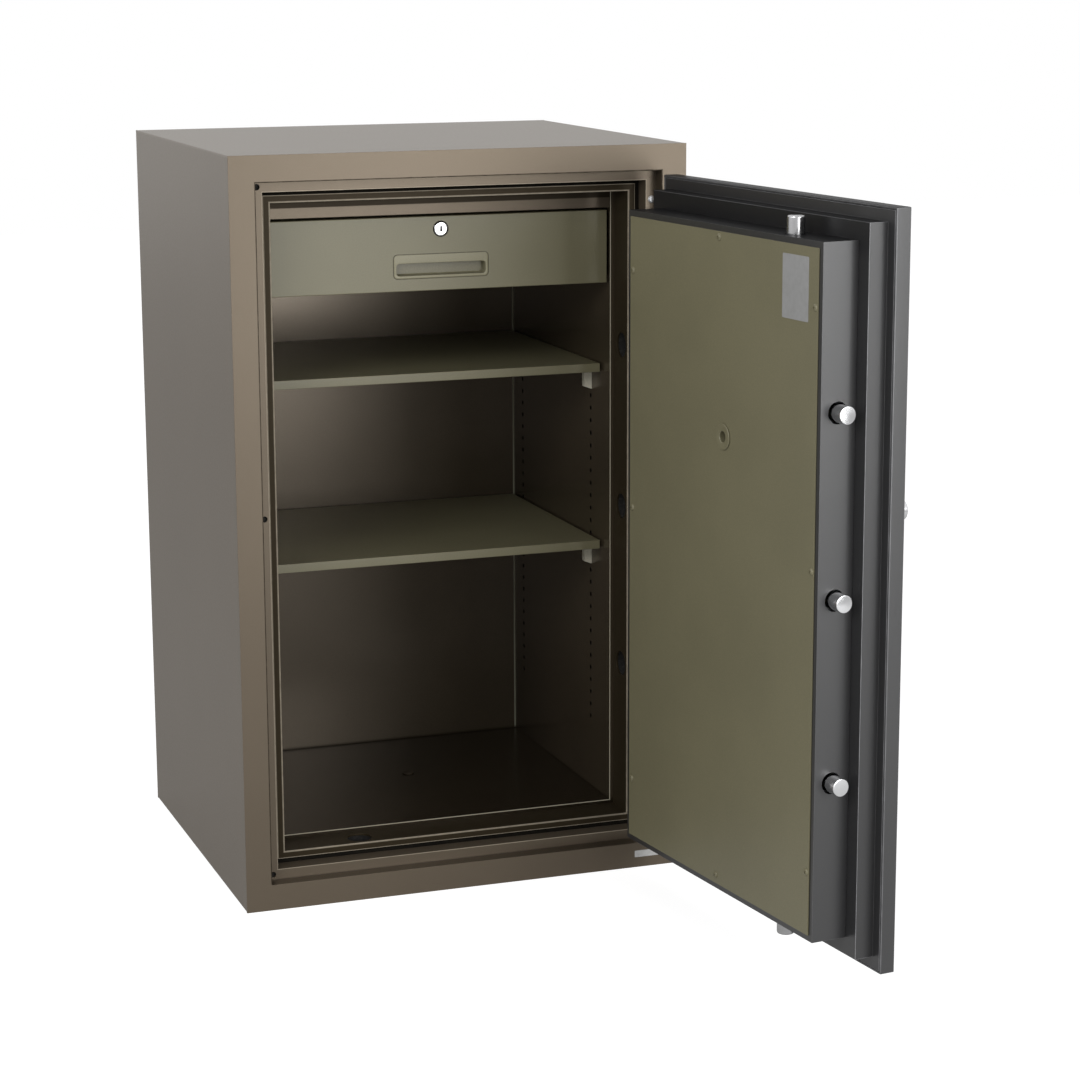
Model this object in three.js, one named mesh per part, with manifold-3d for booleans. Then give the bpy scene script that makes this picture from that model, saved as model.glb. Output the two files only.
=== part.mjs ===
// A fire-resistant safe with its door open: a steel cabinet filled with insulation, two
// shelves, a lockable drawer, and a thick stepped door with its bolt work, combination
// lock and key lock. Millimetres, +Z up. The origin is the middle of the cabinet's
// underside, +X is to the right as seen from the front, and the front faces -Y.
// Depths are measured inwards from the cabinet's front face, and margins inwards from
// the outer edge of the cabinet or of the door.

import * as THREE from "three";
import { mergeVertices } from "three/addons/utils/BufferGeometryUtils.js";
import Module from "manifold-3d";

const wasm = await Module();
wasm.setup();

// Cabinet
const bodyWidth = 624;
const bodyDepth = 560;
const bodyHeight = 1000;
const shellSheet = 3;
const liningSheet = 2;
const backWall = 56;

// Door frame: widths of its steps from the outer edge inwards, and their depths
const stileWidth = 35;
const stripWidth = 14;
const grooveWidth = 6;
const flangeWidth = 10;
const liningLip = 5;
const stripDepth = 22;
const stripHoleRadius = 4;
const stripHoleMiddle = 527;
const flangeDepth = 46;
const grooveDepth = 6;
const jambDepth = 99;
const sealSunk = 1;
const looseFit = 0.3;

// Door
const openAngle = 96.8;
const doorGapSide = 3;
const doorGapTop = 2;
const doorGapBottom = 4;
const plateThickness = 20;
const stepThickness = 25;
const boxDepth = 48;
const stepInset = 17.5;
const boxInset = 22;
const skinSheet = 3;
const doorSheet = 2.5;
const boxFlange = 14;
const coverSheet = 1.5;
const coverInset = 7.5;

// Hinges
const hingeFromSide = 15;
const hingeStandOff = 19;
const knuckleRadius = 17;
const knuckleHeight = 50;
const hingeFromEnd = 180;
const hingePinRadius = 7;
const hingePinHead = 10;
const hingeHeadHeight = 4;
const hingeFootWidth = 22;
const hingeLeafReach = 52;
const hingeLeafSheet = 5.7;
const hingeLeafRoot = 4;

// Bolt work
const boltRadius = 11;
const boltThrow = 24;
const boltReach = 22;
const boltHoleRadius = 13.5;
const strikeRadius = 17;
const strikePocket = 12;
const boltDepth = 69.5;
const boltSpacing = 224;
const sideBoltLength = 74;
const sideBoltChamfer = 1.2;
const fixedBoltReach = 20;
const fixedBoltCollar = 15;
const fixedBoltCollarLength = 8;
const verticalBoltLength = 70;
const verticalBoltChamfer = 2.5;
const carriageBarSheet = 6;
const carriageBarDepth = 28;
const carriageBarOverhang = 14;
const tongueSheet = 4;
const tongueDepth = 57;
const tongueReach = 58;
const tongueHalfHeight = 100;
const handleFromBoxSide = 98.5;
const handleZ = 578;
const crankRadius = 24;
const crankPinRadius = 5;
const crankPinPlay = 0.5;
const crankSheet = 4;
const crankHubRadius = 12;
const crankEndRadius = 8;
const crankHalfTurn = 30;
const spindleRadius = 7;
const spindleBore = 7.5;
const rodWidth = 16;
const rodSheet = 4;
const rodGap = 2;
const rodPinRadius = 4;
const rodPinPlay = 0.4;
const rodPinOverlap = 10;
const topRodPinZ = 70;
const bottomRodPinZ = -50;
const guideSheet = 8;
const guideWall = 4;
const guideWidth = 34;
const sideGuideFromBoxSide = 22.5;
const verticalGuideFromEnd = 34;

// Handle
const roseRadius = 30;
const roseThickness = 5;
const roseBevel = 3;
const handleSocketDepth = 20;
const handleStandOff = 77;
const handleNeckRadius = 10;
const handleHubRadius = 13.5;
const handleHubLength = 30;
const handleHubBevel = 2.5;
const handleHubTaper = 8;
const handleGripRadius = 12;
const handleTipRadius = 9;
const handleLength = 118;

// Combination lock
const dialFromHandle = 96;
const dialAboveHandle = 112;
const dialRadius = 34;
const dialThickness = 12;
const dialKnobRadius = 19;
const dialKnobHeight = 24;
const dialRingRadius = 43;
const dialRingThickness = 4;
const dialSpindleRadius = 4;
const dialSpindlePlay = 1;
const dialBevel = 2;
const dialSkirt = 8;
const driveCamRadius = 20;
const driveCamSheet = 5;
const driveCamFromPan = 8;
const driveGateWidth = 6;
const driveGateDepth = 5;
const dialSpindleEnd = 2;
const caseLeft = 46;
const caseRight = 42;
const caseBelow = 36;
const caseAbove = 30;
const caseDepth = 27;
const caseWall = 2.5;
const lockBoltHeight = 14;
const lockBoltSheet = 8;
const lockBoltLength = 32;
const lockBoltThrow = 12;
const lockBoltLead = 4;
const lockBoltGap = 0.5;
const rodTabHeight = 10;
const rodTabGap = 6;
const rodTabLift = 1;
const changeKeyAside = 25;
const changeKeyDrop = 25.4;
const changeKeyRadius = 8.5;
const changeKeyRing = 16.5;
const changeKeyRingSheet = 2;
const changeKeyWall = 1.5;
const caseKeyHoleRadius = 6.5;

// Key lock
const keyLockFromHandle = 121;
const keyLockBelowHandle = 38;
const keyBodyRadius = 13;
const keyFlangeRadius = 18;
const keyFlangeSheet = 4;
const keyPlugRadius = 8;
const keySlotWidth = 2.6;
const keySlotHeight = 9;
const keySlotDepth = 14;
const keyCamLength = 34;
const keyCamWidth = 14;
const keyArmHalf = 8;
const keyArmGap = 1.5;

// Drawer
const headerHeight = 21.5;
const headerSheet = 2;
const headerReturn = 18;
const drawerTopGap = 3;
const drawerHeight = 99;
const drawerSideGap = 4.5;
const drawerFrontDepth = 20;
const drawerSheet = 2;
const drawerReturn = 14;
const drawerSetBack = 1;
const traySideGap = 16;
const trayLength = 300;
const traySheet = 1.5;
const trayFromTop = 27;
const trayFromBottom = 3;
const trayRim = 10;
const runnerSheet = 2;
const runnerReach = 13;
const runnerGap = 2;
const runnerLength = 310;
const pullWidth = 134;
const pullHeight = 33.5;
const pullFromTop = 66;
const pullFlange = 3;
const pullTopLip = 11;
const pullCorner = 6;
const pullCupDepth = 15;
const pullSheet = 1.5;
const pullProud = 1.2;
const drawerLockFromTop = 17;
const drawerLockRadius = 8;
const drawerLockFace = 9.5;
const drawerLockFaceSheet = 2;
const drawerPlugRadius = 5.5;
const drawerCamLength = 25;
const drawerCamWidth = 10;
const drawerCamSheet = 2.5;
const drawerKeyWidth = 1.8;
const drawerKeyHeight = 7.2;
const drawerKeyDepth = 8;

// Shelves and their clips
const upperShelfTop = 691;
const lowerShelfTop = 440.5;
const shelfThickness = 12;
const shelfSheet = 1.5;
const shelfSideGap = 3;
const shelfSetBack = 31;
const shelfRearGap = 4;
const clipReach = 11;
const clipWidth = 9;
const clipHeight = 29;
const clipFoot = 3.5;
const clipPegRadius = 2.4;
const clipHoleRadius = 2.8;
const clipPegDrop = 14;
const clipFrontDepth = 174;
const clipFromBack = 42;

// Floor anchor
const anchorX = 12;
const anchorDepth = 324;
const anchorHoleRadius = 7;
const anchorPlugRadius = 9;
const anchorPlugSheet = 2;
const anchorStem = 8;

// Facet counts: fine for what shows or bears, coarse for small holes
const fineSides = 24;
const smallSides = 12;
const holeSides = 8;

// Places worked out from the sizes above
const halfWidth = bodyWidth / 2;
const front = -bodyDepth / 2;
const stripMargin = stileWidth + stripWidth;
const grooveMargin = stripMargin + grooveWidth;
const jambMargin = grooveMargin + flangeWidth;
const liningMargin = jambMargin + liningLip;
const grooveFloor = flangeDepth + grooveDepth;
const liningBack = bodyDepth - backWall;
const bayHalf = halfWidth - liningMargin;
const bayTop = bodyHeight - liningMargin;
const bayFloor = liningMargin;
const drawerHalf = bayHalf - drawerSideGap;
const trayHalf = bayHalf - traySideGap;

const doorHalf = halfWidth - stileWidth - doorGapSide;
const doorBottom = stileWidth + doorGapBottom;
const doorTop = bodyHeight - stileWidth - doorGapTop;
const stepBack = plateThickness + stepThickness;
const boxMargin = stepInset + boxInset;
const boxBack = stepBack + boxDepth;
const boxHalf = doorHalf - boxMargin;
const boxTop = doorTop - boxMargin;
const boxBottom = doorBottom + boxMargin;
const hingeX = halfWidth - hingeFromSide;
const hingeY = front - hingeStandOff;
const boltMiddleZ = bodyHeight / 2;
const handleX = handleFromBoxSide - boxHalf;
const dialX = handleX + dialFromHandle;
const dialZ = handleZ + dialAboveHandle;
const changeKeyX = dialX + changeKeyAside;
const changeKeyZ = dialZ - changeKeyDrop;
const keyLockX = handleX + keyLockFromHandle;
const keyLockZ = handleZ - keyLockBelowHandle;
const sideGuideX = sideGuideFromBoxSide - boxHalf;
const boltTipX = boxHalf + boltReach;
const tongueBack = tongueDepth + tongueSheet;
const rodDepth = tongueBack + rodGap;
const crankOffset = crankRadius * Math.sin(THREE.MathUtils.degToRad(crankHalfTurn));
const barX = -(boltTipX - sideBoltLength) + looseFit;
const tongueX = barX + carriageBarSheet + looseFit;

function depth(inwards) {
  return front + inwards;
}

// Finishes
function finish(colour, roughness, metalness) {
  return new THREE.MeshStandardMaterial({ color: colour, roughness, metalness });
}

const bronzePaint = finish(0x6e675b, 0.55, 0.35);
const darkPaint = finish(0x3a342b, 0.5, 0.3);
const khakiPaint = finish(0x6f6c55, 0.5, 0.1);
const graphitePaint = finish(0x3f3f41, 0.45, 0.3);
const chromePlate = finish(0xd8dadd, 0.15, 1.0);
const bareSteel = finish(0x9a9c9e, 0.4, 0.9);
const brassMetal = finish(0xb08d4a, 0.35, 0.9);
const blackRubber = finish(0x151515, 0.8, 0.0);
const fireFill = finish(0x2e2b27, 0.95, 0.0);

// Closed solids for cutting and joining
function toSolid(geometry) {
  const bare = geometry.index ? geometry.toNonIndexed() : geometry.clone();
  bare.deleteAttribute("normal");
  bare.deleteAttribute("uv");
  const merged = mergeVertices(bare, 1e-5);
  return new wasm.Manifold(new wasm.Mesh({
    numProp: 3,
    vertProperties: new Float32Array(merged.attributes.position.array),
    triVerts: new Uint32Array(merged.index.array),
  }));
}

function toGeometry(solid) {
  const mesh = solid.getMesh();
  const geometry = new THREE.BufferGeometry();
  geometry.setAttribute("position", new THREE.BufferAttribute(new Float32Array(mesh.vertProperties), 3));
  geometry.setIndex(new THREE.BufferAttribute(new Uint32Array(mesh.triVerts), 1));
  geometry.computeVertexNormals();
  return geometry;
}

function shape(base, { add = [], cut = [] } = {}) {
  let solid = toSolid(base);
  for (const extra of add) {
    solid = solid.add(toSolid(extra));
  }
  for (const tool of cut) {
    solid = solid.subtract(toSolid(tool));
  }
  return toGeometry(solid);
}

function named(name, geometry, material) {
  const mesh = new THREE.Mesh(geometry, material);
  mesh.name = name;
  return mesh;
}

function block(x0, x1, y0, y1, z0, z1) {
  const box = new THREE.BoxGeometry(x1 - x0, y1 - y0, z1 - z0);
  return box.translate((x0 + x1) / 2, (y0 + y1) / 2, (z0 + z1) / 2);
}

// A round bar between two coordinates on the X, Y or Z axis through a point
function bar(axis, radius, from, to, u, v, sides = fineSides) {
  const round = new THREE.CylinderGeometry(radius, radius, to - from, sides);
  if (axis === "x") {
    return round.rotateZ(Math.PI / 2).translate((from + to) / 2, u, v);
  }
  if (axis === "y") {
    return round.translate(u, (from + to) / 2, v);
  }
  return round.rotateX(Math.PI / 2).translate(u, v, (from + to) / 2);
}

// A turned piece about the Y axis through (x, z): points are [radius, y], y increasing
function turned(points, x, z, sides = fineSides) {
  const profile = points.map(([r, y]) => new THREE.Vector2(r, y));
  return new THREE.LatheGeometry(profile, sides).translate(x, 0, z);
}

// A mitred frame: a section of [margin, depth] points carried round the rectangle
function mitredFrame(section, x0, x1, z0, z1) {
  const corners = [
    (m) => [x0 + m, z0 + m],
    (m) => [x1 - m, z0 + m],
    (m) => [x1 - m, z1 - m],
    (m) => [x0 + m, z1 - m],
  ];
  const points = section.map(([m, d]) => new THREE.Vector2(m, d));
  const outline = THREE.ShapeUtils.area(points) > 0 ? points : points.reverse();
  const positions = [];
  for (let side = 0; side < corners.length; side += 1) {
    const next = (side + 1) % corners.length;
    for (let i = 0; i < outline.length; i += 1) {
      const a = outline[i];
      const b = outline[(i + 1) % outline.length];
      const [ax, az] = corners[side](a.x);
      const [bx, bz] = corners[side](b.x);
      const [cx, cz] = corners[next](b.x);
      const [dx, dz] = corners[next](a.x);
      positions.push(ax, depth(a.y), az, dx, depth(a.y), dz, cx, depth(b.y), cz);
      positions.push(ax, depth(a.y), az, cx, depth(b.y), cz, bx, depth(b.y), bz);
    }
  }
  const geometry = new THREE.BufferGeometry();
  geometry.setAttribute("position", new THREE.Float32BufferAttribute(positions, 3));
  return geometry;
}

function cabinetRing(section) {
  return mitredFrame(section, -halfWidth, halfWidth, 0, bodyHeight);
}

function doorRing(section) {
  return mitredFrame(section, -doorHalf, doorHalf, doorBottom, doorTop);
}

// A flat plate parallel to the front, cut to an outline of [x, z] points
function frontPlate(outline, from, to) {
  const outer = new THREE.Shape(outline.map(([x, z]) => new THREE.Vector2(x, z)));
  const plate = new THREE.ExtrudeGeometry(outer, { depth: to - from, bevelEnabled: false });
  return plate.rotateX(Math.PI / 2).translate(0, to, 0);
}

function roundedRectangle(x, z, width, height, radius, steps = 3) {
  const points = [];
  const centres = [[1, -1, -90], [1, 1, 0], [-1, 1, 90], [-1, -1, 180]];
  for (const [sx, sz, start] of centres) {
    for (let i = 0; i <= steps; i += 1) {
      const angle = THREE.MathUtils.degToRad(start + (90 * i) / steps);
      const cx = x + sx * (width / 2 - radius);
      const cz = z + sz * (height / 2 - radius);
      points.push([cx + radius * Math.cos(angle), cz + radius * Math.sin(angle)]);
    }
  }
  return points;
}

// Outline of a straight slot with round ends
function slotOutline(xa, za, xb, zb, radius, steps = 6) {
  const along = Math.atan2(zb - za, xb - xa);
  const points = [];
  for (const [x, z, turn] of [[xb, zb, -Math.PI / 2], [xa, za, Math.PI / 2]]) {
    for (let i = 0; i <= steps; i += 1) {
      const angle = along + turn + (Math.PI * i) / steps;
      points.push([x + radius * Math.cos(angle), z + radius * Math.sin(angle)]);
    }
  }
  return points;
}

// Strike holes and the bolts that enter them
const sideBoltHeights = {
  upper: boltMiddleZ + boltSpacing,
  middle: boltMiddleZ,
  lower: boltMiddleZ - boltSpacing,
};

function strikeCutters(marginFrom, marginTo, sides) {
  const y = depth(boltDepth);
  const cutters = [];
  for (const z of Object.values(sideBoltHeights)) {
    cutters.push(bar("x", strikeRadius, -halfWidth + marginFrom, -halfWidth + marginTo, y, z, sides));
    cutters.push(bar("x", strikeRadius, halfWidth - marginTo, halfWidth - marginFrom, y, z, sides));
  }
  cutters.push(bar("z", strikeRadius, marginFrom, marginTo, handleX, y, sides));
  cutters.push(bar("z", strikeRadius, bodyHeight - marginTo, bodyHeight - marginFrom, handleX, y, sides));
  return cutters;
}

function anchorCutter(from, to) {
  return bar("z", anchorHoleRadius, from, to, anchorX, depth(anchorDepth), smallSides);
}

// Cabinet pieces
function outerShell() {
  const outer = block(-halfWidth, halfWidth, depth(shellSheet), -depth(shellSheet), 0, bodyHeight);
  const inner = block(
    -halfWidth + shellSheet, halfWidth - shellSheet,
    depth(0), -depth(0),
    shellSheet, bodyHeight - shellSheet,
  );
  return named("outer_shell", shape(outer, { cut: [inner, anchorCutter(-1, shellSheet + 1)] }), bronzePaint);
}

function backPanel() {
  return named("back_panel", block(-halfWidth, halfWidth, -depth(shellSheet), -depth(0), 0, bodyHeight), bronzePaint);
}

function frontFrame() {
  const s = shellSheet;
  const section = [
    [0, 0], [stileWidth, 0], [stileWidth, stripDepth], [stripMargin, stripDepth],
    [stripMargin, grooveFloor + s], [stripMargin - s, grooveFloor + s],
    [stripMargin - s, stripDepth + s], [stileWidth - s, stripDepth + s], [stileWidth - s, s], [0, s],
  ];
  const margin = stileWidth + stripWidth / 2;
  const cutters = [];
  for (const x of [-halfWidth + margin, halfWidth - margin]) {
    for (const z of [margin, stripHoleMiddle, bodyHeight - margin]) {
      cutters.push(bar("y", stripHoleRadius, depth(stripDepth - 1), depth(stripDepth + s + 1), x, z, smallSides));
    }
  }
  return named("front_frame", shape(cabinetRing(section), { cut: cutters }), bronzePaint);
}

function innerJamb() {
  const s = shellSheet;
  const section = [
    [stripMargin, grooveFloor], [grooveMargin, grooveFloor], [grooveMargin, flangeDepth],
    [jambMargin, flangeDepth], [jambMargin, jambDepth], [jambMargin - s, jambDepth],
    [jambMargin - s, flangeDepth + s], [grooveMargin + s, flangeDepth + s],
    [grooveMargin + s, grooveFloor + s], [stripMargin, grooveFloor + s],
  ];
  const cutters = strikeCutters(jambMargin - s - 1, jambMargin + 1, fineSides);
  return named("inner_jamb", shape(cabinetRing(section), { cut: cutters }), bronzePaint);
}

function frameSeal() {
  const section = [
    [stripMargin + looseFit, grooveFloor - looseFit], [grooveMargin - looseFit, grooveFloor - looseFit],
    [grooveMargin - looseFit, flangeDepth + sealSunk], [stripMargin + looseFit, flangeDepth + sealSunk],
  ];
  return named("frame_seal", shape(cabinetRing(section)), blackRubber);
}

function clipPlaces() {
  const places = [];
  for (const [level, top] of [["upper", upperShelfTop], ["lower", lowerShelfTop]]) {
    for (const [end, inwards] of [["front", clipFrontDepth], ["rear", liningBack - clipFromBack]]) {
      for (const [side, sign] of [["left", -1], ["right", 1]]) {
        places.push({ name: `shelf_clip_${level}_${end}_${side}`, sign, inwards, top: top - shelfThickness });
      }
    }
  }
  return places;
}

function innerLining() {
  const s = liningSheet;
  const outer = block(-bayHalf - s, bayHalf + s, depth(jambDepth), depth(liningBack + s), bayFloor - s, bayTop + s);
  const lip = block(
    -halfWidth + jambMargin - shellSheet, halfWidth - jambMargin + shellSheet,
    depth(jambDepth), depth(jambDepth + s),
    jambMargin - shellSheet, bodyHeight - jambMargin + shellSheet,
  );
  const inside = block(-bayHalf, bayHalf, depth(0), depth(liningBack), bayFloor, bayTop);
  const cutters = [inside, anchorCutter(bayFloor - s - 1, bayFloor + 1)];
  for (const { sign, inwards, top } of clipPlaces()) {
    const wall = sign * (bayHalf + s / 2);
    cutters.push(bar("x", clipHoleRadius, wall - s, wall + s, depth(inwards), top - clipPegDrop, holeSides));
  }
  return named("inner_lining", shape(outer, { add: [lip], cut: cutters }), darkPaint);
}

function insulationFill() {
  const s = shellSheet;
  const behindLining = liningBack + liningSheet;
  const liningOut = liningMargin - liningSheet;
  const section = [
    [s, s], [stileWidth - s, s], [stileWidth - s, stripDepth + s], [stripMargin - s, stripDepth + s],
    [stripMargin - s, grooveFloor + s], [jambMargin - s, grooveFloor + s],
    [jambMargin - s, jambDepth + liningSheet], [liningOut, jambDepth + liningSheet],
    [liningOut, bodyDepth - s], [s, bodyDepth - s],
  ];
  const rear = block(
    -halfWidth + stileWidth, halfWidth - stileWidth,
    depth(behindLining), depth(bodyDepth - s),
    stileWidth, bodyHeight - stileWidth,
  );
  const cutters = strikeCutters(jambMargin - s - strikePocket, jambMargin + 1, smallSides);
  cutters.push(anchorCutter(0, bayFloor));
  return named("insulation_fill", shape(cabinetRing(section), { add: [rear], cut: cutters }), fireFill);
}

const headerBottom = bayTop - headerHeight;
const drawerTopZ = headerBottom - drawerTopGap;
const drawerBottomZ = drawerTopZ - drawerHeight;
const drawerFace = jambDepth + drawerSetBack;
const trayTop = drawerTopZ - trayFromTop;
const trayBottom = drawerBottomZ + trayFromBottom;
const trayFrontDepth = drawerFace + drawerFrontDepth;

function drawerHeader() {
  const y = jambDepth + liningSheet;
  const face = block(-bayHalf, bayHalf, depth(y), depth(y + headerSheet), headerBottom, bayTop);
  const back = block(
    -bayHalf, bayHalf,
    depth(y), depth(y + headerReturn),
    headerBottom, headerBottom + headerSheet,
  );
  return named("drawer_header", shape(face, { add: [back] }), bronzePaint);
}

function drawerRunner(side, sign) {
  const from = depth(trayFrontDepth + runnerGap);
  const to = from + runnerLength;
  const outer = sign * bayHalf;
  const inner = outer - sign * runnerReach;
  const [x0, x1] = [Math.min(outer, inner), Math.max(outer, inner)];
  const webInner = outer - sign * runnerSheet;
  const [w0, w1] = [Math.min(outer, webInner), Math.max(outer, webInner)];
  const under = trayTop - traySheet - looseFit;
  const over = trayTop + looseFit;
  const web = block(w0, w1, from, to, under - runnerSheet, over + runnerSheet);
  const lower = block(x0, x1, from, to, under - runnerSheet, under);
  const upper = block(x0, x1, from, to, over, over + runnerSheet);
  return named(`drawer_runner_${side}`, shape(web, { add: [lower, upper] }), bareSteel);
}

function shelf(name, top) {
  const half = bayHalf - shelfSideGap;
  const from = depth(jambDepth + shelfSetBack);
  const to = depth(liningBack - shelfRearGap);
  const bottom = top - shelfThickness;
  const outer = block(-half, half, from, to, bottom, top);
  const under = block(
    -half + shelfSheet, half - shelfSheet,
    from + shelfSheet, to - shelfSheet,
    bottom - 1, top - shelfSheet,
  );
  return named(name, shape(outer, { cut: [under] }), khakiPaint);
}

function shelfClip({ name, sign, inwards, top }) {
  const wall = bayHalf - looseFit / 2;
  const seat = top - looseFit;
  const outline = [
    [wall, seat], [wall - clipReach, seat], [wall - clipReach, seat - clipHeight + clipFoot],
    [wall, seat - clipHeight],
  ];
  const y = depth(inwards);
  const plate = frontPlate(outline.map(([x, z]) => [sign * x, z]), y - clipWidth / 2, y + clipWidth / 2);
  const pegFrom = sign * (wall - 1);
  const pegTo = sign * (bayHalf + liningSheet - looseFit);
  const peg = bar("x", clipPegRadius, Math.min(pegFrom, pegTo), Math.max(pegFrom, pegTo), y, top - clipPegDrop, holeSides);
  return named(name, shape(plate, { add: [peg] }), khakiPaint);
}

function anchorPlug() {
  const y = depth(anchorDepth);
  const cap = bar("z", anchorPlugRadius, bayFloor, bayFloor + anchorPlugSheet, anchorX, y, smallSides);
  const stem = bar("z", anchorHoleRadius - looseFit, bayFloor - anchorStem, bayFloor + 1, anchorX, y, smallSides);
  return named("anchor_plug", shape(cap, { add: [stem] }), darkPaint);
}

// Hinges: each frame knuckle carries the door knuckle above it, on a headed pin
const hingeHeights = { upper: bodyHeight - hingeFromEnd, lower: hingeFromEnd };
const hingeBore = hingePinRadius + looseFit;

function frameKnuckle(place, z) {
  const round = bar("z", knuckleRadius, z - knuckleHeight, z, hingeX, hingeY);
  const foot = block(
    hingeX - hingeFootWidth / 2, hingeX + hingeFootWidth / 2,
    hingeY, front,
    z - knuckleHeight, z,
  );
  const bore = bar("z", hingeBore, z - knuckleHeight - 1, z + 1, hingeX, hingeY);
  return named(`hinge_${place}_frame_knuckle`, shape(round, { add: [foot], cut: [bore] }), graphitePaint);
}

function doorKnuckle(place, z) {
  const from = z + looseFit;
  const to = from + knuckleHeight;
  const round = bar("z", knuckleRadius, from, to, hingeX, hingeY);
  const leafBack = front - looseFit;
  const leaf = block(doorHalf - hingeLeafReach, hingeX - hingeLeafRoot, leafBack - hingeLeafSheet, leafBack, from, to);
  const bore = bar("z", hingeBore, from - 1, to + 1, hingeX, hingeY);
  return named(`hinge_${place}_door_knuckle`, shape(round, { add: [leaf], cut: [bore] }), graphitePaint);
}

function hingePin(place, z) {
  const top = z + looseFit + knuckleHeight + looseFit;
  const shank = bar("z", hingePinRadius, z - knuckleHeight, top + 1, hingeX, hingeY);
  const head = bar("z", hingePinHead, top, top + hingeHeadHeight, hingeX, hingeY);
  return named(`hinge_${place}_pin`, shape(shank, { add: [head] }), bareSteel);
}

// Drawer pieces
function drawerFront() {
  const half = drawerHalf;
  const y0 = depth(drawerFace);
  const y1 = depth(trayFrontDepth);
  const outer = block(-half, half, y0, y1, drawerBottomZ, drawerTopZ);
  const hollow = block(
    -half + drawerSheet, half - drawerSheet,
    y0 + drawerSheet, y1 - drawerSheet,
    drawerBottomZ + drawerSheet, drawerTopZ - drawerSheet,
  );
  const back = block(
    -half + drawerReturn, half - drawerReturn,
    y1 - drawerSheet - 1, y1 + 1,
    drawerBottomZ + drawerReturn, drawerTopZ - drawerSheet,
  );
  const pullHole = frontPlate(
    roundedRectangle(0, pullCupZ, pullCupWidth + 2 * looseFit, pullCupHeight + 2 * looseFit, pullCorner),
    y0 - 1, y0 + drawerSheet + 1,
  );
  const lockHole = bar("y", drawerLockRadius + looseFit, y0 - 1, y0 + drawerSheet + 1, 0, drawerLockZ, smallSides);
  return named("drawer_front", shape(outer, { cut: [hollow, back, pullHole, lockHole] }), khakiPaint);
}

const pullZ = drawerTopZ - pullFromTop;
const pullCupWidth = pullWidth - 2 * pullFlange;
const pullCupHeight = pullHeight - pullTopLip - pullFlange;
const pullCupZ = pullZ - (pullTopLip - pullFlange) / 2;
const drawerLockZ = drawerTopZ - drawerLockFromTop;

function drawerPull() {
  const y0 = depth(drawerFace);
  const flange = frontPlate(roundedRectangle(0, pullZ, pullWidth, pullHeight, pullCorner), y0 - pullProud, y0 - looseFit / 3);
  const cup = frontPlate(
    roundedRectangle(0, pullCupZ, pullCupWidth, pullCupHeight, pullCorner),
    y0 - looseFit, y0 + pullCupDepth,
  );
  const inner = frontPlate(
    roundedRectangle(0, pullCupZ, pullCupWidth - 2 * pullSheet, pullCupHeight - 2 * pullSheet, pullCorner - pullSheet),
    y0 - pullProud - 1, y0 + pullCupDepth - pullSheet,
  );
  return named("drawer_pull", shape(flange, { add: [cup], cut: [inner] }), khakiPaint);
}

function drawerTray() {
  const half = trayHalf;
  const y0 = depth(trayFrontDepth);
  const y1 = y0 + trayLength;
  const outer = block(-half, half, y0, y1, trayBottom, trayTop);
  const hollow = block(-half + traySheet, half - traySheet, y0 + traySheet, y1 - traySheet, trayBottom + traySheet, trayTop + 1);
  const rims = [-1, 1].map((sign) => {
    const a = sign * (half - traySheet / 2);
    const b = sign * (half + trayRim);
    return block(Math.min(a, b), Math.max(a, b), y0 + traySheet, y1, trayTop - traySheet, trayTop);
  });
  return named("drawer_tray", shape(outer, { add: rims, cut: [hollow] }), khakiPaint);
}

function drawerLockBody() {
  const y0 = depth(drawerFace);
  const rear = depth(trayFrontDepth) - drawerSheet;
  const face = bar("y", drawerLockFace, y0 - drawerLockFaceSheet, y0 - looseFit / 3, 0, drawerLockZ, fineSides);
  const barrel = bar("y", drawerLockRadius, y0 - 1, rear, 0, drawerLockZ, fineSides);
  const bore = bar("y", drawerPlugRadius + looseFit, y0 - 5, rear + 1, 0, drawerLockZ, fineSides);
  return named("drawer_lock_body", shape(face, { add: [barrel], cut: [bore] }), chromePlate);
}

function drawerLockPlug() {
  const y0 = depth(drawerFace);
  const rear = depth(trayFrontDepth) + looseFit;
  const plug = bar("y", drawerPlugRadius, y0 - drawerLockFaceSheet, rear + 1, 0, drawerLockZ, fineSides);
  const cam = block(
    -drawerCamWidth / 2, drawerCamLength,
    rear, rear + drawerCamSheet,
    drawerLockZ - drawerCamWidth / 2, drawerLockZ + drawerCamWidth / 2,
  );
  const keySlot = block(
    -drawerKeyWidth / 2, drawerKeyWidth / 2,
    y0 - 5, y0 + drawerKeyDepth,
    drawerLockZ - drawerKeyHeight / 2, drawerLockZ + drawerKeyHeight / 2,
  );
  return named("drawer_lock_plug", shape(plug, { add: [cam], cut: [keySlot] }), chromePlate);
}

// Door shell
function frontHoles(from, to) {
  return [
    bar("y", spindleBore, from, to, handleX, handleZ, smallSides),
    bar("y", dialSpindleRadius + dialSpindlePlay, from, to, dialX, dialZ, smallSides),
    bar("y", keyBodyRadius + looseFit, from, to, keyLockX, keyLockZ, fineSides),
  ];
}

function doorSkin() {
  const outer = block(-doorHalf, doorHalf, front, depth(plateThickness), doorBottom, doorTop);
  const hollow = block(
    -doorHalf + skinSheet, doorHalf - skinSheet,
    depth(skinSheet), depth(plateThickness) + 1,
    doorBottom + skinSheet, doorTop - skinSheet,
  );
  const cutters = [hollow, ...frontHoles(front - 1, depth(skinSheet) + 1)];
  return named("door_skin", shape(outer, { cut: cutters }), graphitePaint);
}

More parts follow.
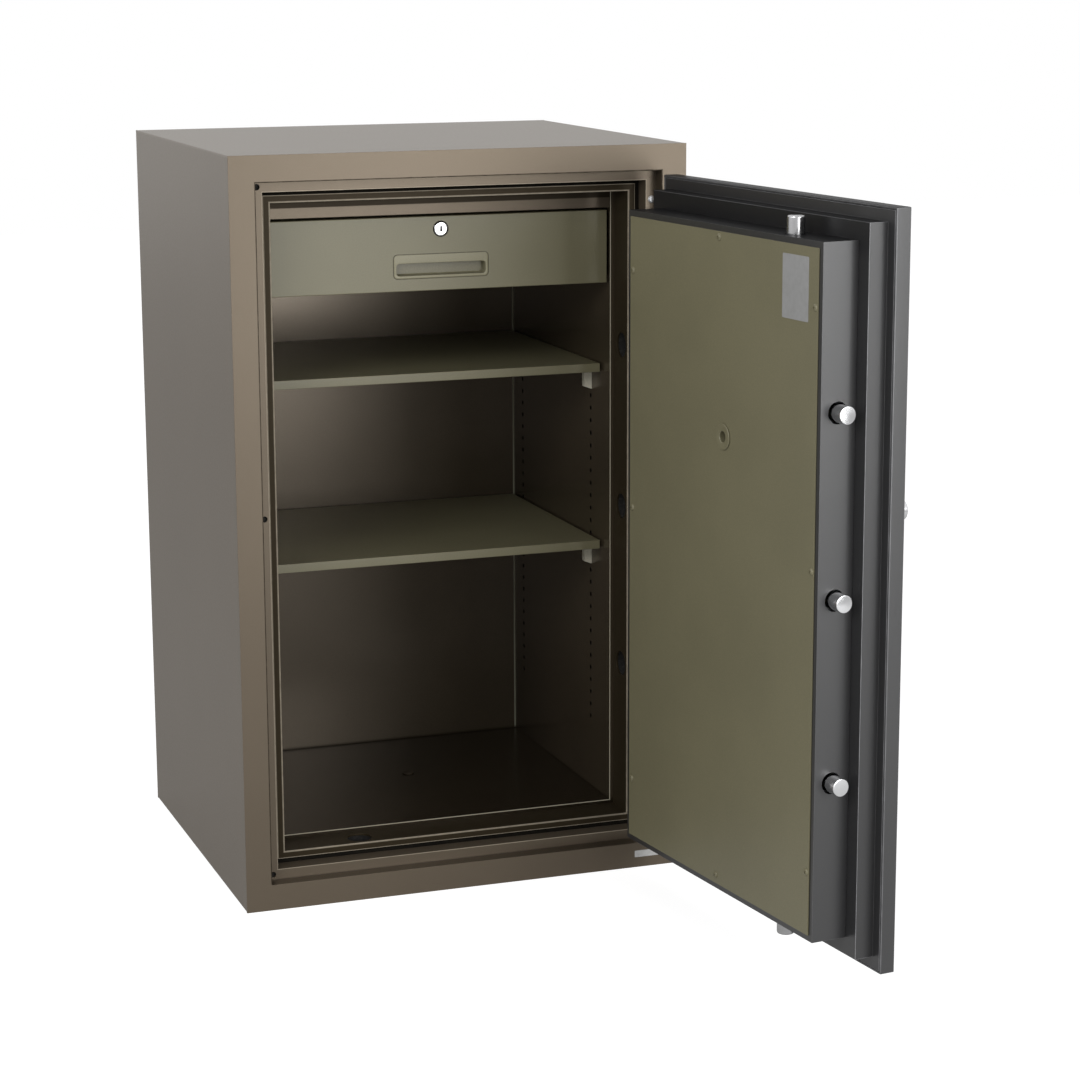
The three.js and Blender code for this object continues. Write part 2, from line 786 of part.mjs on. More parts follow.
function doorStepPan() {
  const s = doorSheet;
  const rim = skinSheet + looseFit;
  const section = [
    [rim, plateThickness - s], [rim, plateThickness], [stepInset, plateThickness], [stepInset, stepBack],
    [stepInset + s, stepBack], [stepInset + s, plateThickness - s],
  ];
  const floor = block(
    -doorHalf + stepInset + s / 2, doorHalf - stepInset - s / 2,
    depth(stepBack - s), depth(stepBack),
    doorBottom + stepInset + s / 2, doorTop - stepInset - s / 2,
  );
  const cutters = frontHoles(depth(stepBack - s) - 1, depth(stepBack) + 1);
  return named("door_step_pan", shape(doorRing(section), { add: [floor], cut: cutters }), graphitePaint);
}

function doorInsulation() {
  const g = looseFit;
  const plateMargin = skinSheet + g;
  const stepMargin = stepInset + doorSheet + g;
  const wide = block(
    -doorHalf + plateMargin, doorHalf - plateMargin,
    depth(skinSheet + g), depth(plateThickness - doorSheet - g),
    doorBottom + plateMargin, doorTop - plateMargin,
  );
  const deep = block(
    -doorHalf + stepMargin, doorHalf - stepMargin,
    depth(skinSheet + g), depth(stepBack - doorSheet - g),
    doorBottom + stepMargin, doorTop - stepMargin,
  );
  return named("door_insulation", shape(wide, { add: [deep], cut: frontHoles(front, depth(stepBack)) }), fireFill);
}

function boltBox() {
  const s = doorSheet;
  const near = stepBack + looseFit;
  const section = [
    [boxMargin, near], [boxMargin, boxBack], [boxMargin + boxFlange, boxBack],
    [boxMargin + boxFlange, boxBack - s], [boxMargin + s, boxBack - s], [boxMargin + s, near],
  ];
  const y = depth(boltDepth);
  const cutters = [
    bar("z", boltHoleRadius, boxTop - s - 1, boxTop + 1, handleX, y),
    bar("z", boltHoleRadius, boxBottom - 1, boxBottom + s + 1, handleX, y),
  ];
  for (const z of Object.values(sideBoltHeights)) {
    cutters.push(bar("x", boltHoleRadius, -boxHalf - 1, -boxHalf + s + 1, y, z));
    cutters.push(bar("x", boltRadius + looseFit, boxHalf - s - 1, boxHalf + 1, y, z));
  }
  return named("bolt_box", shape(doorRing(section), { cut: cutters }), graphitePaint);
}

const coverNear = boxBack + looseFit;
const coverBack = coverNear + coverSheet;

function doorCover() {
  const half = boxHalf - coverInset;
  const panel = block(-half, half, depth(coverNear), depth(coverBack), boxBottom + coverInset, boxTop - coverInset);
  const hole = bar("y", changeKeyRadius + looseFit, depth(coverNear) - 1, depth(coverBack) + 1, changeKeyX, changeKeyZ, fineSides);
  return named("door_cover", shape(panel, { cut: [hole] }), khakiPaint);
}

function changeKeyBush() {
  const back = depth(coverBack) + looseFit;
  const near = depth(stepBack + caseDepth) + 2 * looseFit;
  const tube = bar("y", changeKeyRadius, near, back + 1, changeKeyX, changeKeyZ);
  const ring = bar("y", changeKeyRing, back, back + changeKeyRingSheet, changeKeyX, changeKeyZ);
  const bore = bar("y", changeKeyRadius - changeKeyWall, near - 1, back + changeKeyRingSheet + 1, changeKeyX, changeKeyZ);
  return named("change_key_bush", shape(tube, { add: [ring], cut: [bore] }), khakiPaint);
}

function fixedBolt(place, z) {
  const y = depth(boltDepth);
  const inside = boxHalf - doorSheet - looseFit;
  const pin = bar("x", boltRadius, inside - fixedBoltCollarLength, boxHalf + fixedBoltReach, y, z);
  const collar = bar("x", fixedBoltCollar, inside - fixedBoltCollarLength, inside, y, z);
  return named(`hinge_side_bolt_${place}`, shape(pin, { add: [collar] }), chromePlate);
}

// Guides that carry the moving bolts
const guideNear = stepBack + looseFit;
const guideFar = boltDepth + boltRadius + guideWall;
const guideBore = boltRadius + looseFit;

function sideBoltGuide() {
  const y0 = depth(guideNear);
  const y1 = depth(guideFar);
  const half = boltSpacing + guideWidth / 2;
  const rail = block(
    sideGuideX - guideSheet / 2, sideGuideX + guideSheet / 2,
    y0, y1,
    boltMiddleZ - half, boltMiddleZ + half,
  );
  const bores = Object.values(sideBoltHeights).map((z) => (
    bar("x", guideBore, sideGuideX - guideSheet, sideGuideX + guideSheet, depth(boltDepth), z)
  ));
  return named("side_bolt_guide", shape(rail, { cut: bores }), bareSteel);
}

function verticalBoltGuide(place, z) {
  const plate = block(
    handleX - guideWidth / 2, handleX + guideWidth / 2,
    depth(guideNear), depth(guideFar),
    z - guideSheet / 2, z + guideSheet / 2,
  );
  const bore = bar("z", guideBore, z - guideSheet, z + guideSheet, handleX, depth(boltDepth));
  return named(`${place}_bolt_guide`, shape(plate, { cut: [bore] }), bareSteel);
}

// Moving bolts
function sideBolt(place, z) {
  const chamfer = sideBoltChamfer;
  const tip = -boltTipX;
  const points = [
    new THREE.Vector2(0, 0), new THREE.Vector2(boltRadius, 0),
    new THREE.Vector2(boltRadius, sideBoltLength - chamfer),
    new THREE.Vector2(boltRadius - chamfer, sideBoltLength), new THREE.Vector2(0, sideBoltLength),
  ];
  const bolt = new THREE.LatheGeometry(points, fineSides).rotateZ(Math.PI / 2);
  return named(`side_bolt_${place}`, shape(bolt.translate(tip + sideBoltLength, depth(boltDepth), z)), chromePlate);
}

function verticalBolt(place, sign, pinOffset) {
  const chamfer = verticalBoltChamfer;
  const tip = sign > 0 ? boxTop + boltReach : boxBottom - boltReach;
  const root = tip - sign * verticalBoltLength;
  const points = [
    new THREE.Vector2(0, 0), new THREE.Vector2(boltRadius, 0),
    new THREE.Vector2(boltRadius, verticalBoltLength - chamfer),
    new THREE.Vector2(boltRadius - chamfer, verticalBoltLength), new THREE.Vector2(0, verticalBoltLength),
  ];
  const round = new THREE.LatheGeometry(points, fineSides).rotateX((sign * Math.PI) / 2);
  round.translate(handleX, depth(boltDepth), root);
  const pinZ = handleZ + pinOffset;
  const near = pinZ - sign * rodPinOverlap;
  const far = root + sign * rodPinOverlap;
  const y0 = depth(rodDepth);
  const y1 = depth(rodDepth + rodSheet);
  const strip = block(
    handleX - rodWidth / 2, handleX + rodWidth / 2,
    y0, y1,
    Math.min(near, far), Math.max(near, far),
  );
  const pin = bar("y", rodPinRadius, depth(tongueDepth - 1), y1, handleX, pinZ, smallSides);
  const extra = [strip, pin];
  if (sign > 0) {
    extra.push(block(
      handleX, dialX - caseLeft - rodTabGap,
      y0, y1,
      lockBoltTopZ + rodTabLift, lockBoltTopZ + rodTabLift + rodTabHeight,
    ));
  }
  return named(`${place}_bolt`, shape(round, { add: extra }), chromePlate);
}

const lockBoltTopZ = dialZ + lockBoltHeight;

function boltCarriage() {
  const crankSlotX = handleX - crankOffset;
  const crankLow = crankRadius * Math.cos(THREE.MathUtils.degToRad(crankHalfTurn));
  const right = tongueX + tongueReach;
  const keyArmEnd = keyLockX - keyCamLength - keyArmGap;
  const outline = [
    [tongueX, handleZ - tongueHalfHeight], [right, handleZ - tongueHalfHeight],
    [right, keyLockZ - keyArmHalf], [keyArmEnd, keyLockZ - keyArmHalf],
    [keyArmEnd, keyLockZ + keyArmHalf], [right, keyLockZ + keyArmHalf],
    [right, handleZ + tongueHalfHeight], [tongueX, handleZ + tongueHalfHeight],
  ];
  const slots = [
    slotOutline(
      crankSlotX, handleZ + crankLow - crankPinPlay,
      crankSlotX, handleZ + crankRadius + crankPinPlay,
      crankPinRadius + crankPinPlay,
    ),
    slotOutline(handleX - boltThrow, handleZ, handleX, handleZ, spindleBore + 1),
    slotOutline(
      handleX - boltThrow, handleZ + topRodPinZ - boltThrow,
      handleX, handleZ + topRodPinZ,
      rodPinRadius + rodPinPlay,
    ),
    slotOutline(
      handleX - boltThrow, handleZ + bottomRodPinZ + boltThrow,
      handleX, handleZ + bottomRodPinZ,
      rodPinRadius + rodPinPlay,
    ),
  ];
  const tongue = frontPlate(outline, depth(tongueDepth), depth(tongueBack));
  const cutters = slots.map((slot) => frontPlate(slot, depth(tongueDepth) - 1, depth(tongueBack) + 1));
  const barNear = boltDepth - carriageBarDepth / 2;
  const barHalf = boltSpacing + carriageBarOverhang;
  const upright = block(
    barX, barX + carriageBarSheet,
    depth(barNear), depth(barNear + carriageBarDepth),
    boltMiddleZ - barHalf, boltMiddleZ + barHalf,
  );
  const joiner = block(
    barX + 1, tongueX + 1,
    depth(tongueDepth), depth(tongueBack),
    handleZ - tongueHalfHeight, handleZ + tongueHalfHeight,
  );
  return named("bolt_carriage", shape(upright, { add: [joiner, tongue], cut: cutters }), bareSteel);
}

// Handle and its crank
function crankSpindle() {
  const start = depth(-roseThickness - handleSocketDepth);
  const armNear = depth(rodDepth);
  const armFar = depth(rodDepth + crankSheet);
  const angle = THREE.MathUtils.degToRad(crankHalfTurn);
  const pinX = handleX - crankRadius * Math.sin(angle);
  const pinZ = handleZ + crankRadius * Math.cos(angle);
  const spindle = bar("y", spindleRadius, start, armFar, handleX, handleZ);
  const hub = bar("y", crankHubRadius, armNear, armFar, handleX, handleZ);
  const end = bar("y", crankEndRadius, armNear, armFar, pinX, pinZ, smallSides);
  const web = frontPlate(slotOutline(handleX, handleZ, pinX, pinZ, crankEndRadius - 0.5), armNear, armFar);
  const pin = bar("y", crankPinRadius, depth(tongueDepth - 1), armFar, pinX, pinZ, smallSides);
  return named("crank_spindle", shape(spindle, { add: [hub, end, web, pin] }), bareSteel);
}

function handleRose() {
  const rose = turned(
    [
      [0, depth(-roseThickness)], [roseRadius - roseBevel, depth(-roseThickness)], [roseRadius, depth(-roseThickness + roseBevel)],
      [roseRadius, depth(-looseFit)], [0, depth(-looseFit)],
    ],
    handleX, handleZ,
  );
  const bore = bar("y", handleNeckRadius + looseFit, depth(-roseThickness - 1), depth(0), handleX, handleZ);
  return named("handle_rose", shape(rose, { cut: [bore] }), chromePlate);
}

function handleLever() {
  const neckEnd = depth(-handleStandOff - handleGripRadius);
  const neck = turned(
    [
      [0, neckEnd], [handleHubRadius - handleHubBevel, neckEnd], [handleHubRadius, neckEnd + handleHubBevel],
      [handleHubRadius, neckEnd + handleHubLength], [handleNeckRadius, neckEnd + handleHubLength + handleHubTaper],
      [handleNeckRadius, depth(-2 * looseFit)], [0, depth(-2 * looseFit)],
    ],
    handleX, handleZ,
  );
  const points = [
    new THREE.Vector2(0, 0), new THREE.Vector2(handleGripRadius, 0),
    new THREE.Vector2(handleTipRadius, handleLength - handleTipRadius),
    new THREE.Vector2(handleTipRadius * 0.7, handleLength - handleTipRadius * 0.3),
    new THREE.Vector2(0, handleLength),
  ];
  const grip = new THREE.LatheGeometry(points, fineSides / 2).rotateZ(-Math.PI / 2);
  grip.translate(handleX, depth(-handleStandOff), handleZ);
  const socket = bar("y", spindleRadius + looseFit, depth(-roseThickness - handleSocketDepth) - looseFit, depth(1), handleX, handleZ);
  return named("handle_lever", shape(neck, { add: [grip], cut: [socket] }), chromePlate);
}

// Combination lock
function dialRing() {
  const ring = turned(
    [
      [0, depth(-dialRingThickness)], [dialRingRadius - dialBevel, depth(-dialRingThickness)],
      [dialRingRadius, depth(-dialRingThickness + dialBevel)], [dialRingRadius, depth(-looseFit)], [0, depth(-looseFit)],
    ],
    dialX, dialZ,
  );
  const bore = bar("y", dialSpindleRadius + dialSpindlePlay, depth(-dialRingThickness - 1), depth(1), dialX, dialZ);
  return named("dial_ring", shape(ring, { cut: [bore] }), chromePlate);
}

function dialKnob() {
  const near = depth(-dialRingThickness - looseFit);
  const face = near - dialThickness;
  const knob = turned(
    [
      [0, face - dialKnobHeight], [dialKnobRadius - dialBevel, face - dialKnobHeight],
      [dialKnobRadius, face - dialKnobHeight + dialBevel], [dialKnobRadius, face],
      [dialRadius - dialSkirt, face], [dialRadius, near - dialBevel], [dialRadius, near], [0, near],
    ],
    dialX, dialZ,
  );
  const socket = bar("y", dialSpindleRadius + looseFit, near - dialThickness, near + 1, dialX, dialZ);
  return named("dial_knob", shape(knob, { cut: [socket] }), graphitePaint);
}

function dialSpindle() {
  const start = depth(-dialRingThickness - dialThickness);
  const camNear = depth(stepBack + driveCamFromPan);
  const rod = bar("y", dialSpindleRadius, start, camNear + driveCamSheet + dialSpindleEnd, dialX, dialZ, smallSides);
  const cam = bar("y", driveCamRadius, camNear, camNear + driveCamSheet, dialX, dialZ);
  const gate = block(
    dialX - driveGateWidth / 2, dialX + driveGateWidth / 2,
    camNear - 1, camNear + driveCamSheet + 1,
    dialZ + driveCamRadius - driveGateDepth, dialZ + driveCamRadius + 1,
  );
  return named("dial_spindle", shape(rod, { add: [cam], cut: [gate] }), brassMetal);
}

function lockCase() {
  const near = depth(stepBack + looseFit);
  const far = depth(stepBack + caseDepth);
  const x0 = dialX - caseLeft;
  const x1 = dialX + caseRight;
  const z0 = dialZ - caseBelow;
  const z1 = dialZ + caseAbove;
  const outer = block(x0, x1, near, far, z0, z1);
  const hollow = block(x0 + caseWall, x1 - caseWall, near - 1, far - caseWall, z0 + caseWall, z1 - caseWall);
  const window = block(
    x0 - 1, x0 + caseWall + 1,
    depth(lockBoltNear) - looseFit, depth(lockBoltNear + lockBoltSheet) + looseFit,
    dialZ - looseFit, lockBoltTopZ + looseFit,
  );
  const keyHole = bar("y", caseKeyHoleRadius, far - caseWall - 1, far + 1, changeKeyX, changeKeyZ, smallSides);
  return named("lock_case", shape(outer, { cut: [hollow, window, keyHole] }), bareSteel);
}

const lockBoltNear = tongueBack + lockBoltGap;

function lockBolt() {
  const tip = dialX - caseLeft - lockBoltLead;
  const bolt = block(
    tip, tip + lockBoltLength,
    depth(lockBoltNear), depth(lockBoltNear + lockBoltSheet),
    dialZ, lockBoltTopZ,
  );
  return named("lock_bolt", bolt, brassMetal);
}

// Key lock
function keyLockBody() {
  const flangeFront = depth(-keyFlangeSheet);
  const rear = depth(tongueDepth) - 2;
  const flange = bar("y", keyFlangeRadius, flangeFront, depth(-looseFit), keyLockX, keyLockZ);
  const barrel = bar("y", keyBodyRadius, depth(-1), rear, keyLockX, keyLockZ);
  const bore = bar("y", keyPlugRadius + looseFit, flangeFront - 1, rear + 1, keyLockX, keyLockZ);
  return named("key_lock_body", shape(flange, { add: [barrel], cut: [bore] }), chromePlate);
}

function keyLockPlug() {
  const start = depth(-keyFlangeSheet);
  const camNear = depth(tongueDepth);
  const camFar = depth(tongueBack);
  const plug = bar("y", keyPlugRadius, start, camFar, keyLockX, keyLockZ);
  const cam = block(keyLockX - keyCamWidth / 2, keyLockX + keyCamWidth / 2, camNear, camFar, keyLockZ, keyLockZ + keyCamLength);
  const slot = block(
    keyLockX - keySlotWidth / 2, keyLockX + keySlotWidth / 2,
    start - 1, start + keySlotDepth,
    keyLockZ - keySlotHeight / 2, keyLockZ + keySlotHeight / 2,
  );
  return named("key_lock_plug", shape(plug, { add: [cam], cut: [slot] }), brassMetal);
}

// The assembly
const safe = new THREE.Group();
const cabinet = new THREE.Group();
const drawer = new THREE.Group();
const door = new THREE.Group();
const doorPivot = new THREE.Group();

cabinet.add(
  outerShell(), backPanel(), frontFrame(), innerJamb(), frameSeal(), innerLining(), insulationFill(),
  drawerHeader(), drawerRunner("left", -1), drawerRunner("right", 1),
  shelf("shelf_upper", upperShelfTop), shelf("shelf_lower", lowerShelfTop),
  ...clipPlaces().map(shelfClip),
  anchorPlug(),
);

drawer.add(drawerTray(), drawerFront(), drawerPull(), drawerLockBody(), drawerLockPlug());

door.add(doorSkin(), doorStepPan(), doorInsulation(), boltBox(), doorCover(), changeKeyBush());
door.add(sideBoltGuide(), verticalBoltGuide("top", boxTop - verticalGuideFromEnd));
door.add(verticalBoltGuide("bottom", boxBottom + verticalGuideFromEnd));
door.add(boltCarriage(), verticalBolt("top", 1, topRodPinZ), verticalBolt("bottom", -1, bottomRodPinZ));
door.add(crankSpindle(), handleRose(), handleLever());
door.add(dialRing(), dialKnob(), dialSpindle(), lockCase(), lockBolt(), keyLockBody(), keyLockPlug());

for (const [place, z] of Object.entries(sideBoltHeights)) {
  door.add(sideBolt(place, z), fixedBolt(place, z));
}

for (const [place, z] of Object.entries(hingeHeights)) {
  cabinet.add(frameKnuckle(place, z), hingePin(place, z));
  door.add(doorKnuckle(place, z));
}

door.position.set(-hingeX, -hingeY, 0);
doorPivot.position.set(hingeX, hingeY, 0);
doorPivot.rotation.z = THREE.MathUtils.degToRad(openAngle);
doorPivot.add(door);
safe.add(cabinet, drawer, doorPivot);

export default safe;
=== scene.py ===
"""A fire-resistant safe with its door open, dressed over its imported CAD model.

Sizes are in metres and the frame is the CAD's: the origin is under the middle of the
cabinet, +X is to the right from the front, the front faces -Y and +Z is up. The door's
own pieces are laid out as if the door were shut, then swung open with it.
"""

import math

import bmesh
import bpy
from mathutils import Matrix, Vector


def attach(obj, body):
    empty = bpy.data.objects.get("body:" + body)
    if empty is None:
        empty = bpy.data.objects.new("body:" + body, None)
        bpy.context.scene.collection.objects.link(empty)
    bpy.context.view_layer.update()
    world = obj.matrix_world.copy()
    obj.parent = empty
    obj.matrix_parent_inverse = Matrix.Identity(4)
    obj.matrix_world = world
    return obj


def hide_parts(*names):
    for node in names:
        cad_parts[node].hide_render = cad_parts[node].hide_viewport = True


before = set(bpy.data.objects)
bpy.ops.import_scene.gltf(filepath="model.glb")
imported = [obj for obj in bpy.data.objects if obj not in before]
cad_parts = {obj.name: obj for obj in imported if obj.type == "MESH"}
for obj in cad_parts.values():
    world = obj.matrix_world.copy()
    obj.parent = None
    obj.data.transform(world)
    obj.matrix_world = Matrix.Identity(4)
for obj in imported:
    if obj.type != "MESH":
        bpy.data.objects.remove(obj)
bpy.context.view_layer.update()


# The cabinet's body: a tube of 3 mm sheet steel, folded at its four long corners and
# welded, with a rear sheet welded in. Both are sprayed with a fine-grained bronze paint.
def rounded_copy(node, name, paint, radius, turns=2, wanted=None):
    """A copy of a CAD piece with its loose triangles joined and its sharp edges rounded.

    The faces of each outward rounding are marked "fold", for paints that lay painted highlights there.
    A rounding is narrow for its length, and its two long edges don't lie in a hollow.
    """
    flat, sharp, hollow, slimness, weld_gap = math.radians(0.6), math.radians(32), -0.02, 0.7, 2e-6
    shape = bmesh.new()
    shape.from_mesh(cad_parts[node].data)
    bmesh.ops.remove_doubles(shape, verts=shape.verts, dist=weld_gap)
    bmesh.ops.dissolve_limit(shape, angle_limit=flat, verts=shape.verts, edges=shape.edges)
    fold = shape.faces.layers.float.new("fold")
    edges = [
        edge for edge in shape.edges
        if edge.is_manifold and edge.calc_face_angle(0) > sharp and (wanted is None or wanted(edge))
    ]
    rounding = bmesh.ops.bevel(
        shape, geom=edges, offset=radius, offset_type="OFFSET", segments=turns,
        profile=0.5, affect="EDGES", clamp_overlap=True,
    )
    shape.normal_update()
    for face in rounding["faces"]:
        narrow = face.calc_area() < radius * slimness * face.calc_perimeter()
        long_edges = sorted(face.edges, key=lambda edge: edge.calc_length())[-2:]
        outward = all(edge.calc_face_angle_signed(0) > hollow for edge in long_edges)
        face[fold] = 1.0 if narrow and outward else 0.0
    return made(shape, name, paint)


def made(shape, name, paint=None, crease=38):
    """Turns a finished shape into a painted object, smooth where it curves and crisp elsewhere."""
    mesh = bpy.data.meshes.new(name)
    shape.to_mesh(mesh)
    shape.free()
    mesh.polygons.foreach_set("use_smooth", [True] * len(mesh.polygons))
    mesh.set_sharp_from_angle(angle=math.radians(crease))
    piece = in_scene(name, mesh)
    even = piece.modifiers.new("even faces", "WEIGHTED_NORMAL")
    even.keep_sharp = True
    settled(piece)
    if paint:
        piece.data.materials.append(paint)
    return piece


def in_scene(name, data):
    """Puts a new object in the scene, with the given mesh, lamp or other data."""
    thing = bpy.data.objects.new(name, data)
    bpy.context.scene.collection.objects.link(thing)
    return thing


def settled(piece):
    """Bakes a piece's modifiers into its mesh and takes them off."""
    ready = piece.evaluated_get(bpy.context.evaluated_depsgraph_get())
    mesh = bpy.data.meshes.new_from_object(ready)
    piece.modifiers.clear()
    piece.data = mesh


def fill(node, inputs):
    """Joins sockets to a node's inputs, and sets the other inputs to plain values."""
    for key, value in inputs.items():
        if isinstance(value, bpy.types.NodeSocket):
            node.id_data.links.new(value, node.inputs[key])
        else:
            node.inputs[key].default_value = value


def node_in(tree, kind, inputs=None, **settings):
    """Adds a node, sets it up and joins or fills its inputs."""
    node = tree.nodes.new(kind)
    for key, value in settings.items():
        setattr(node, key, value)
    fill(node, inputs or {})
    return node


def out_of(tree, kind, inputs=None, **settings):
    """Adds a node and gives its first output."""
    return node_in(tree, kind, inputs, **settings).outputs[0]


def ranged(tree, value, low, high, at_low=0.0, at_high=1.0):
    """Carries a value from one range to another and holds it at both ends."""
    return out_of(tree, "ShaderNodeMapRange", {
        "Value": value, "From Min": low, "From Max": high, "To Min": at_low, "To Max": at_high,
    })


def vector_in(tree, x=0.0, y=0.0, z=0.0):
    """A vector from three sockets or numbers."""
    return out_of(tree, "ShaderNodeCombineXYZ", {"X": x, "Y": y, "Z": z})


def axes_in(tree, where):
    """The X, Y and Z of a vector."""
    return node_in(tree, "ShaderNodeSeparateXYZ", {0: where}).outputs


def ramp_in(tree, factor, stops):
    """A colour ramp with (place, colour) stops."""
    ramp = node_in(tree, "ShaderNodeValToRGB", {"Fac": factor})
    marks = ramp.color_ramp.elements
    for mark, (place, colour) in zip((marks[0], marks[1]), (stops[0], stops[-1])):
        mark.position, mark.color = place, (*colour, 1)
    for place, colour in stops[1:-1]:
        marks.new(place).color = (*colour, 1)
    return ramp.outputs["Color"]


def noise_in(tree, where, scale, detail=2.0, stretch=None):
    """Noise on the piece's own coordinates, drawn out along an axis where asked."""
    if stretch:
        where = out_of(tree, "ShaderNodeMapping", {"Vector": where, "Scale": stretch})
    noise = node_in(tree, "ShaderNodeTexNoise", {"Vector": where, "Scale": scale, "Detail": detail})
    return noise.outputs["Fac"]


def spread(tree, value, low, high):
    """Carries noise, which keeps near 0.5, out to the range from low to high."""
    return ranged(tree, value, 0.3, 0.7, low, high)


def bump_in(tree, height, strength, depth):
    """A surface's fine relief, from a height between 0 and 1."""
    return out_of(tree, "ShaderNodeBump", {"Height": height, "Strength": strength, "Distance": depth})


def new_paint(name):
    """A new material, its nodes, its shader and the piece's own coordinates."""
    material = bpy.data.materials.new(name)
    material.use_nodes = True
    tree = material.node_tree
    here = node_in(tree, "ShaderNodeTexCoord").outputs["Object"]
    return material, tree, tree.nodes["Principled BSDF"], here


def sprayed_paint(name, colour, gloss, grain, grain_height, patchiness=0.08, lustre=0.5, glint=(1, 1, 1)):
    """Stoved paint on sheet steel: slow patchiness, a fine grain in the film and uneven gloss."""
    material, tree, shader, here = new_paint(name)
    cloud = noise_in(tree, here, 7, 3)
    fine = noise_in(tree, here, grain, 2)
    uneven = noise_in(tree, here, 260, 4)
    darker = tuple(c * (1 - patchiness) for c in colour)
    lighter = tuple(c * (1 + patchiness) for c in colour)
    base = ramp_in(tree, cloud, [(0.35, darker), (0.5, colour), (0.65, lighter)])
    speck = ranged(tree, fine, 0.35, 0.65, 0.93, 1.07)
    fill(shader, {
        "Base Color": out_of(tree, "ShaderNodeVectorMath", {0: base, 1: speck}, operation="MULTIPLY"),
        "Roughness": spread(tree, uneven, gloss * 0.97, gloss * 1.04),
        "Normal": bump_in(tree, fine, 1.0, grain_height),
        "Specular IOR Level": lustre, "Specular Tint": (*glint, 1),
    })
    return material


def bronze(name, colour=(0.080, 0.064, 0.046), lustre=0.9):
    """The cabinet's fine-grained spray paint, bronze-brown unless another colour is given."""
    return sprayed_paint(
        name, colour, 0.38, 900, 0.00006, patchiness=0.03, lustre=lustre, glint=(1.0, 0.84, 0.66),
    )


bronze_paint = bronze("bronze cabinet paint")
corner_x, corner_z, front_y, rear_y = 0.312, 1.0, -0.28, 0.28


def on_long_corner(edge):
    a, b = (v.co for v in edge.verts)
    along = abs(a.x - b.x) < 1e-5 and abs(a.z - b.z) < 1e-5
    return along and abs(abs(a.x) - corner_x) < 1e-4 and (a.z < 1e-4 or a.z > corner_z - 1e-4)


cabinet_shell = rounded_copy("outer_shell", "cabinet_shell", bronze_paint, 0.0022, 4, on_long_corner)
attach(cabinet_shell, "cabinet")
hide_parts("outer_shell")


def on_rear_outline(edge):
    return all(v.co.y > rear_y - 1e-4 for v in edge.verts)


cabinet_back = rounded_copy("back_panel", "cabinet_back", bronze_paint, 0.0015, 3, on_rear_outline)
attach(cabinet_back, "cabinet")
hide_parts("back_panel")


# The front frame: one folded and mitred sheet that makes the outer face and the sunk strip
# behind the door's plate. It is welded to the body and painted with it.
def in_front_of(limit):
    """Chooses the edges that lie wholly in front of a depth."""
    return lambda edge: all(v.co.y < limit for v in edge.verts)


strip_y, strip_back = -0.258, -0.2355


def on_front_side(edge):
    return in_front_of(strip_back)(edge) and any(v.co.y < strip_y + 0.0011 for v in edge.verts)


def maths(tree, operation, *values):
    """One sum on sockets and numbers."""
    return out_of(tree, "ShaderNodeMath", dict(enumerate(values)), operation=operation)


def blend(tree, amount, under, colour):
    """Lays a colour over what is under it, by the given amount."""
    return node_in(
        tree, "ShaderNodeMix", {0: amount, 6: under, 7: (*colour, 1)}, data_type="RGBA",
    ).outputs[2]


def distance_in(tree, section, out, back):
    """How far a point of a section across the cabinet is from a line that runs round it."""
    spot = (out, back, 0.0)
    return node_in(
        tree, "ShaderNodeVectorMath", {0: section, 1: spot}, operation="DISTANCE",
    ).outputs["Value"]


def over(material):
    """A finished paint's nodes, shader, coordinates and colour, to lay more over it."""
    tree = material.node_tree
    shader = tree.nodes["Principled BSDF"]
    here = node_in(tree, "ShaderNodeTexCoord").outputs["Object"]
    return tree, shader, here, shader.inputs["Base Color"].links[0].from_socket


def edge_paint(name, colour, lustre, highlight_edges, shadow_edges=(), shaded_wall=None, bright_highlight_edges=()):
    """Paint with painted highlights along some of the frame's edges and painted shadow along others.

    Each edge is (distance from the cabinet's outside, depth behind its front, half width).
    """
    material = bronze(name, colour, lustre)
    tree, shader, here, shade = over(material)
    place = axes_in(tree, here)
    margin = maths(tree, "SUBTRACT", corner_x, maths(tree, "ABSOLUTE", place["X"]))
    from_top = maths(tree, "SUBTRACT", corner_z, place["Z"])
    margin = maths(tree, "MINIMUM", maths(tree, "MINIMUM", margin, place["Z"]), from_top)
    section = vector_in(tree, margin, place["Y"])
    # Noise that breaks up the painted lines.
    rubbed = spread(tree, noise_in(tree, here, 90, 4), 0.7, 1.0)

    def along(edges):
        lines = 0.0
        for out, back, half in edges:
            off = distance_in(tree, section, out, front_y + back)
            line = ranged(tree, off, half * 0.7, half * 1.3, 1.0, 0.0)
            lines = maths(tree, "MAXIMUM", lines, line)
        return maths(tree, "MULTIPLY", lines, rubbed)

    # Painted shadow: dark, dull lines along the given edges.
    if shadow_edges:
        above_sill = ranged(tree, place["Z"], 0.035, 0.038)
        dark = maths(tree, "MULTIPLY", along(shadow_edges), above_sill)
        shade = blend(tree, dark, shade, (0.018, 0.014, 0.009))
        fill(shader, {"Specular IOR Level": ranged(tree, dark, 0.0, 1.0, lustre, 0.05)})
    # Painted shade on the recess wall, behind its front.
    if shaded_wall:
        off = maths(tree, "ABSOLUTE", maths(tree, "SUBTRACT", margin, shaded_wall))
        near = ranged(tree, off, 0.0007, 0.0010, 1.0, 0.0)
        deep = ranged(tree, place["Y"], front_y + 0.0015, front_y + 0.0025)
        shade = blend(tree, maths(tree, "MULTIPLY", near, deep), shade, (0.026, 0.020, 0.013))
    # Painted highlights: pale lines along the given edges, and brighter ones where asked.
    shade = blend(tree, along(highlight_edges), shade, (0.36, 0.315, 0.245))
    if bright_highlight_edges:
        shade = blend(tree, along(bright_highlight_edges), shade, (0.90, 0.83, 0.64))
    fill(shader, {"Base Color": shade})
    return material
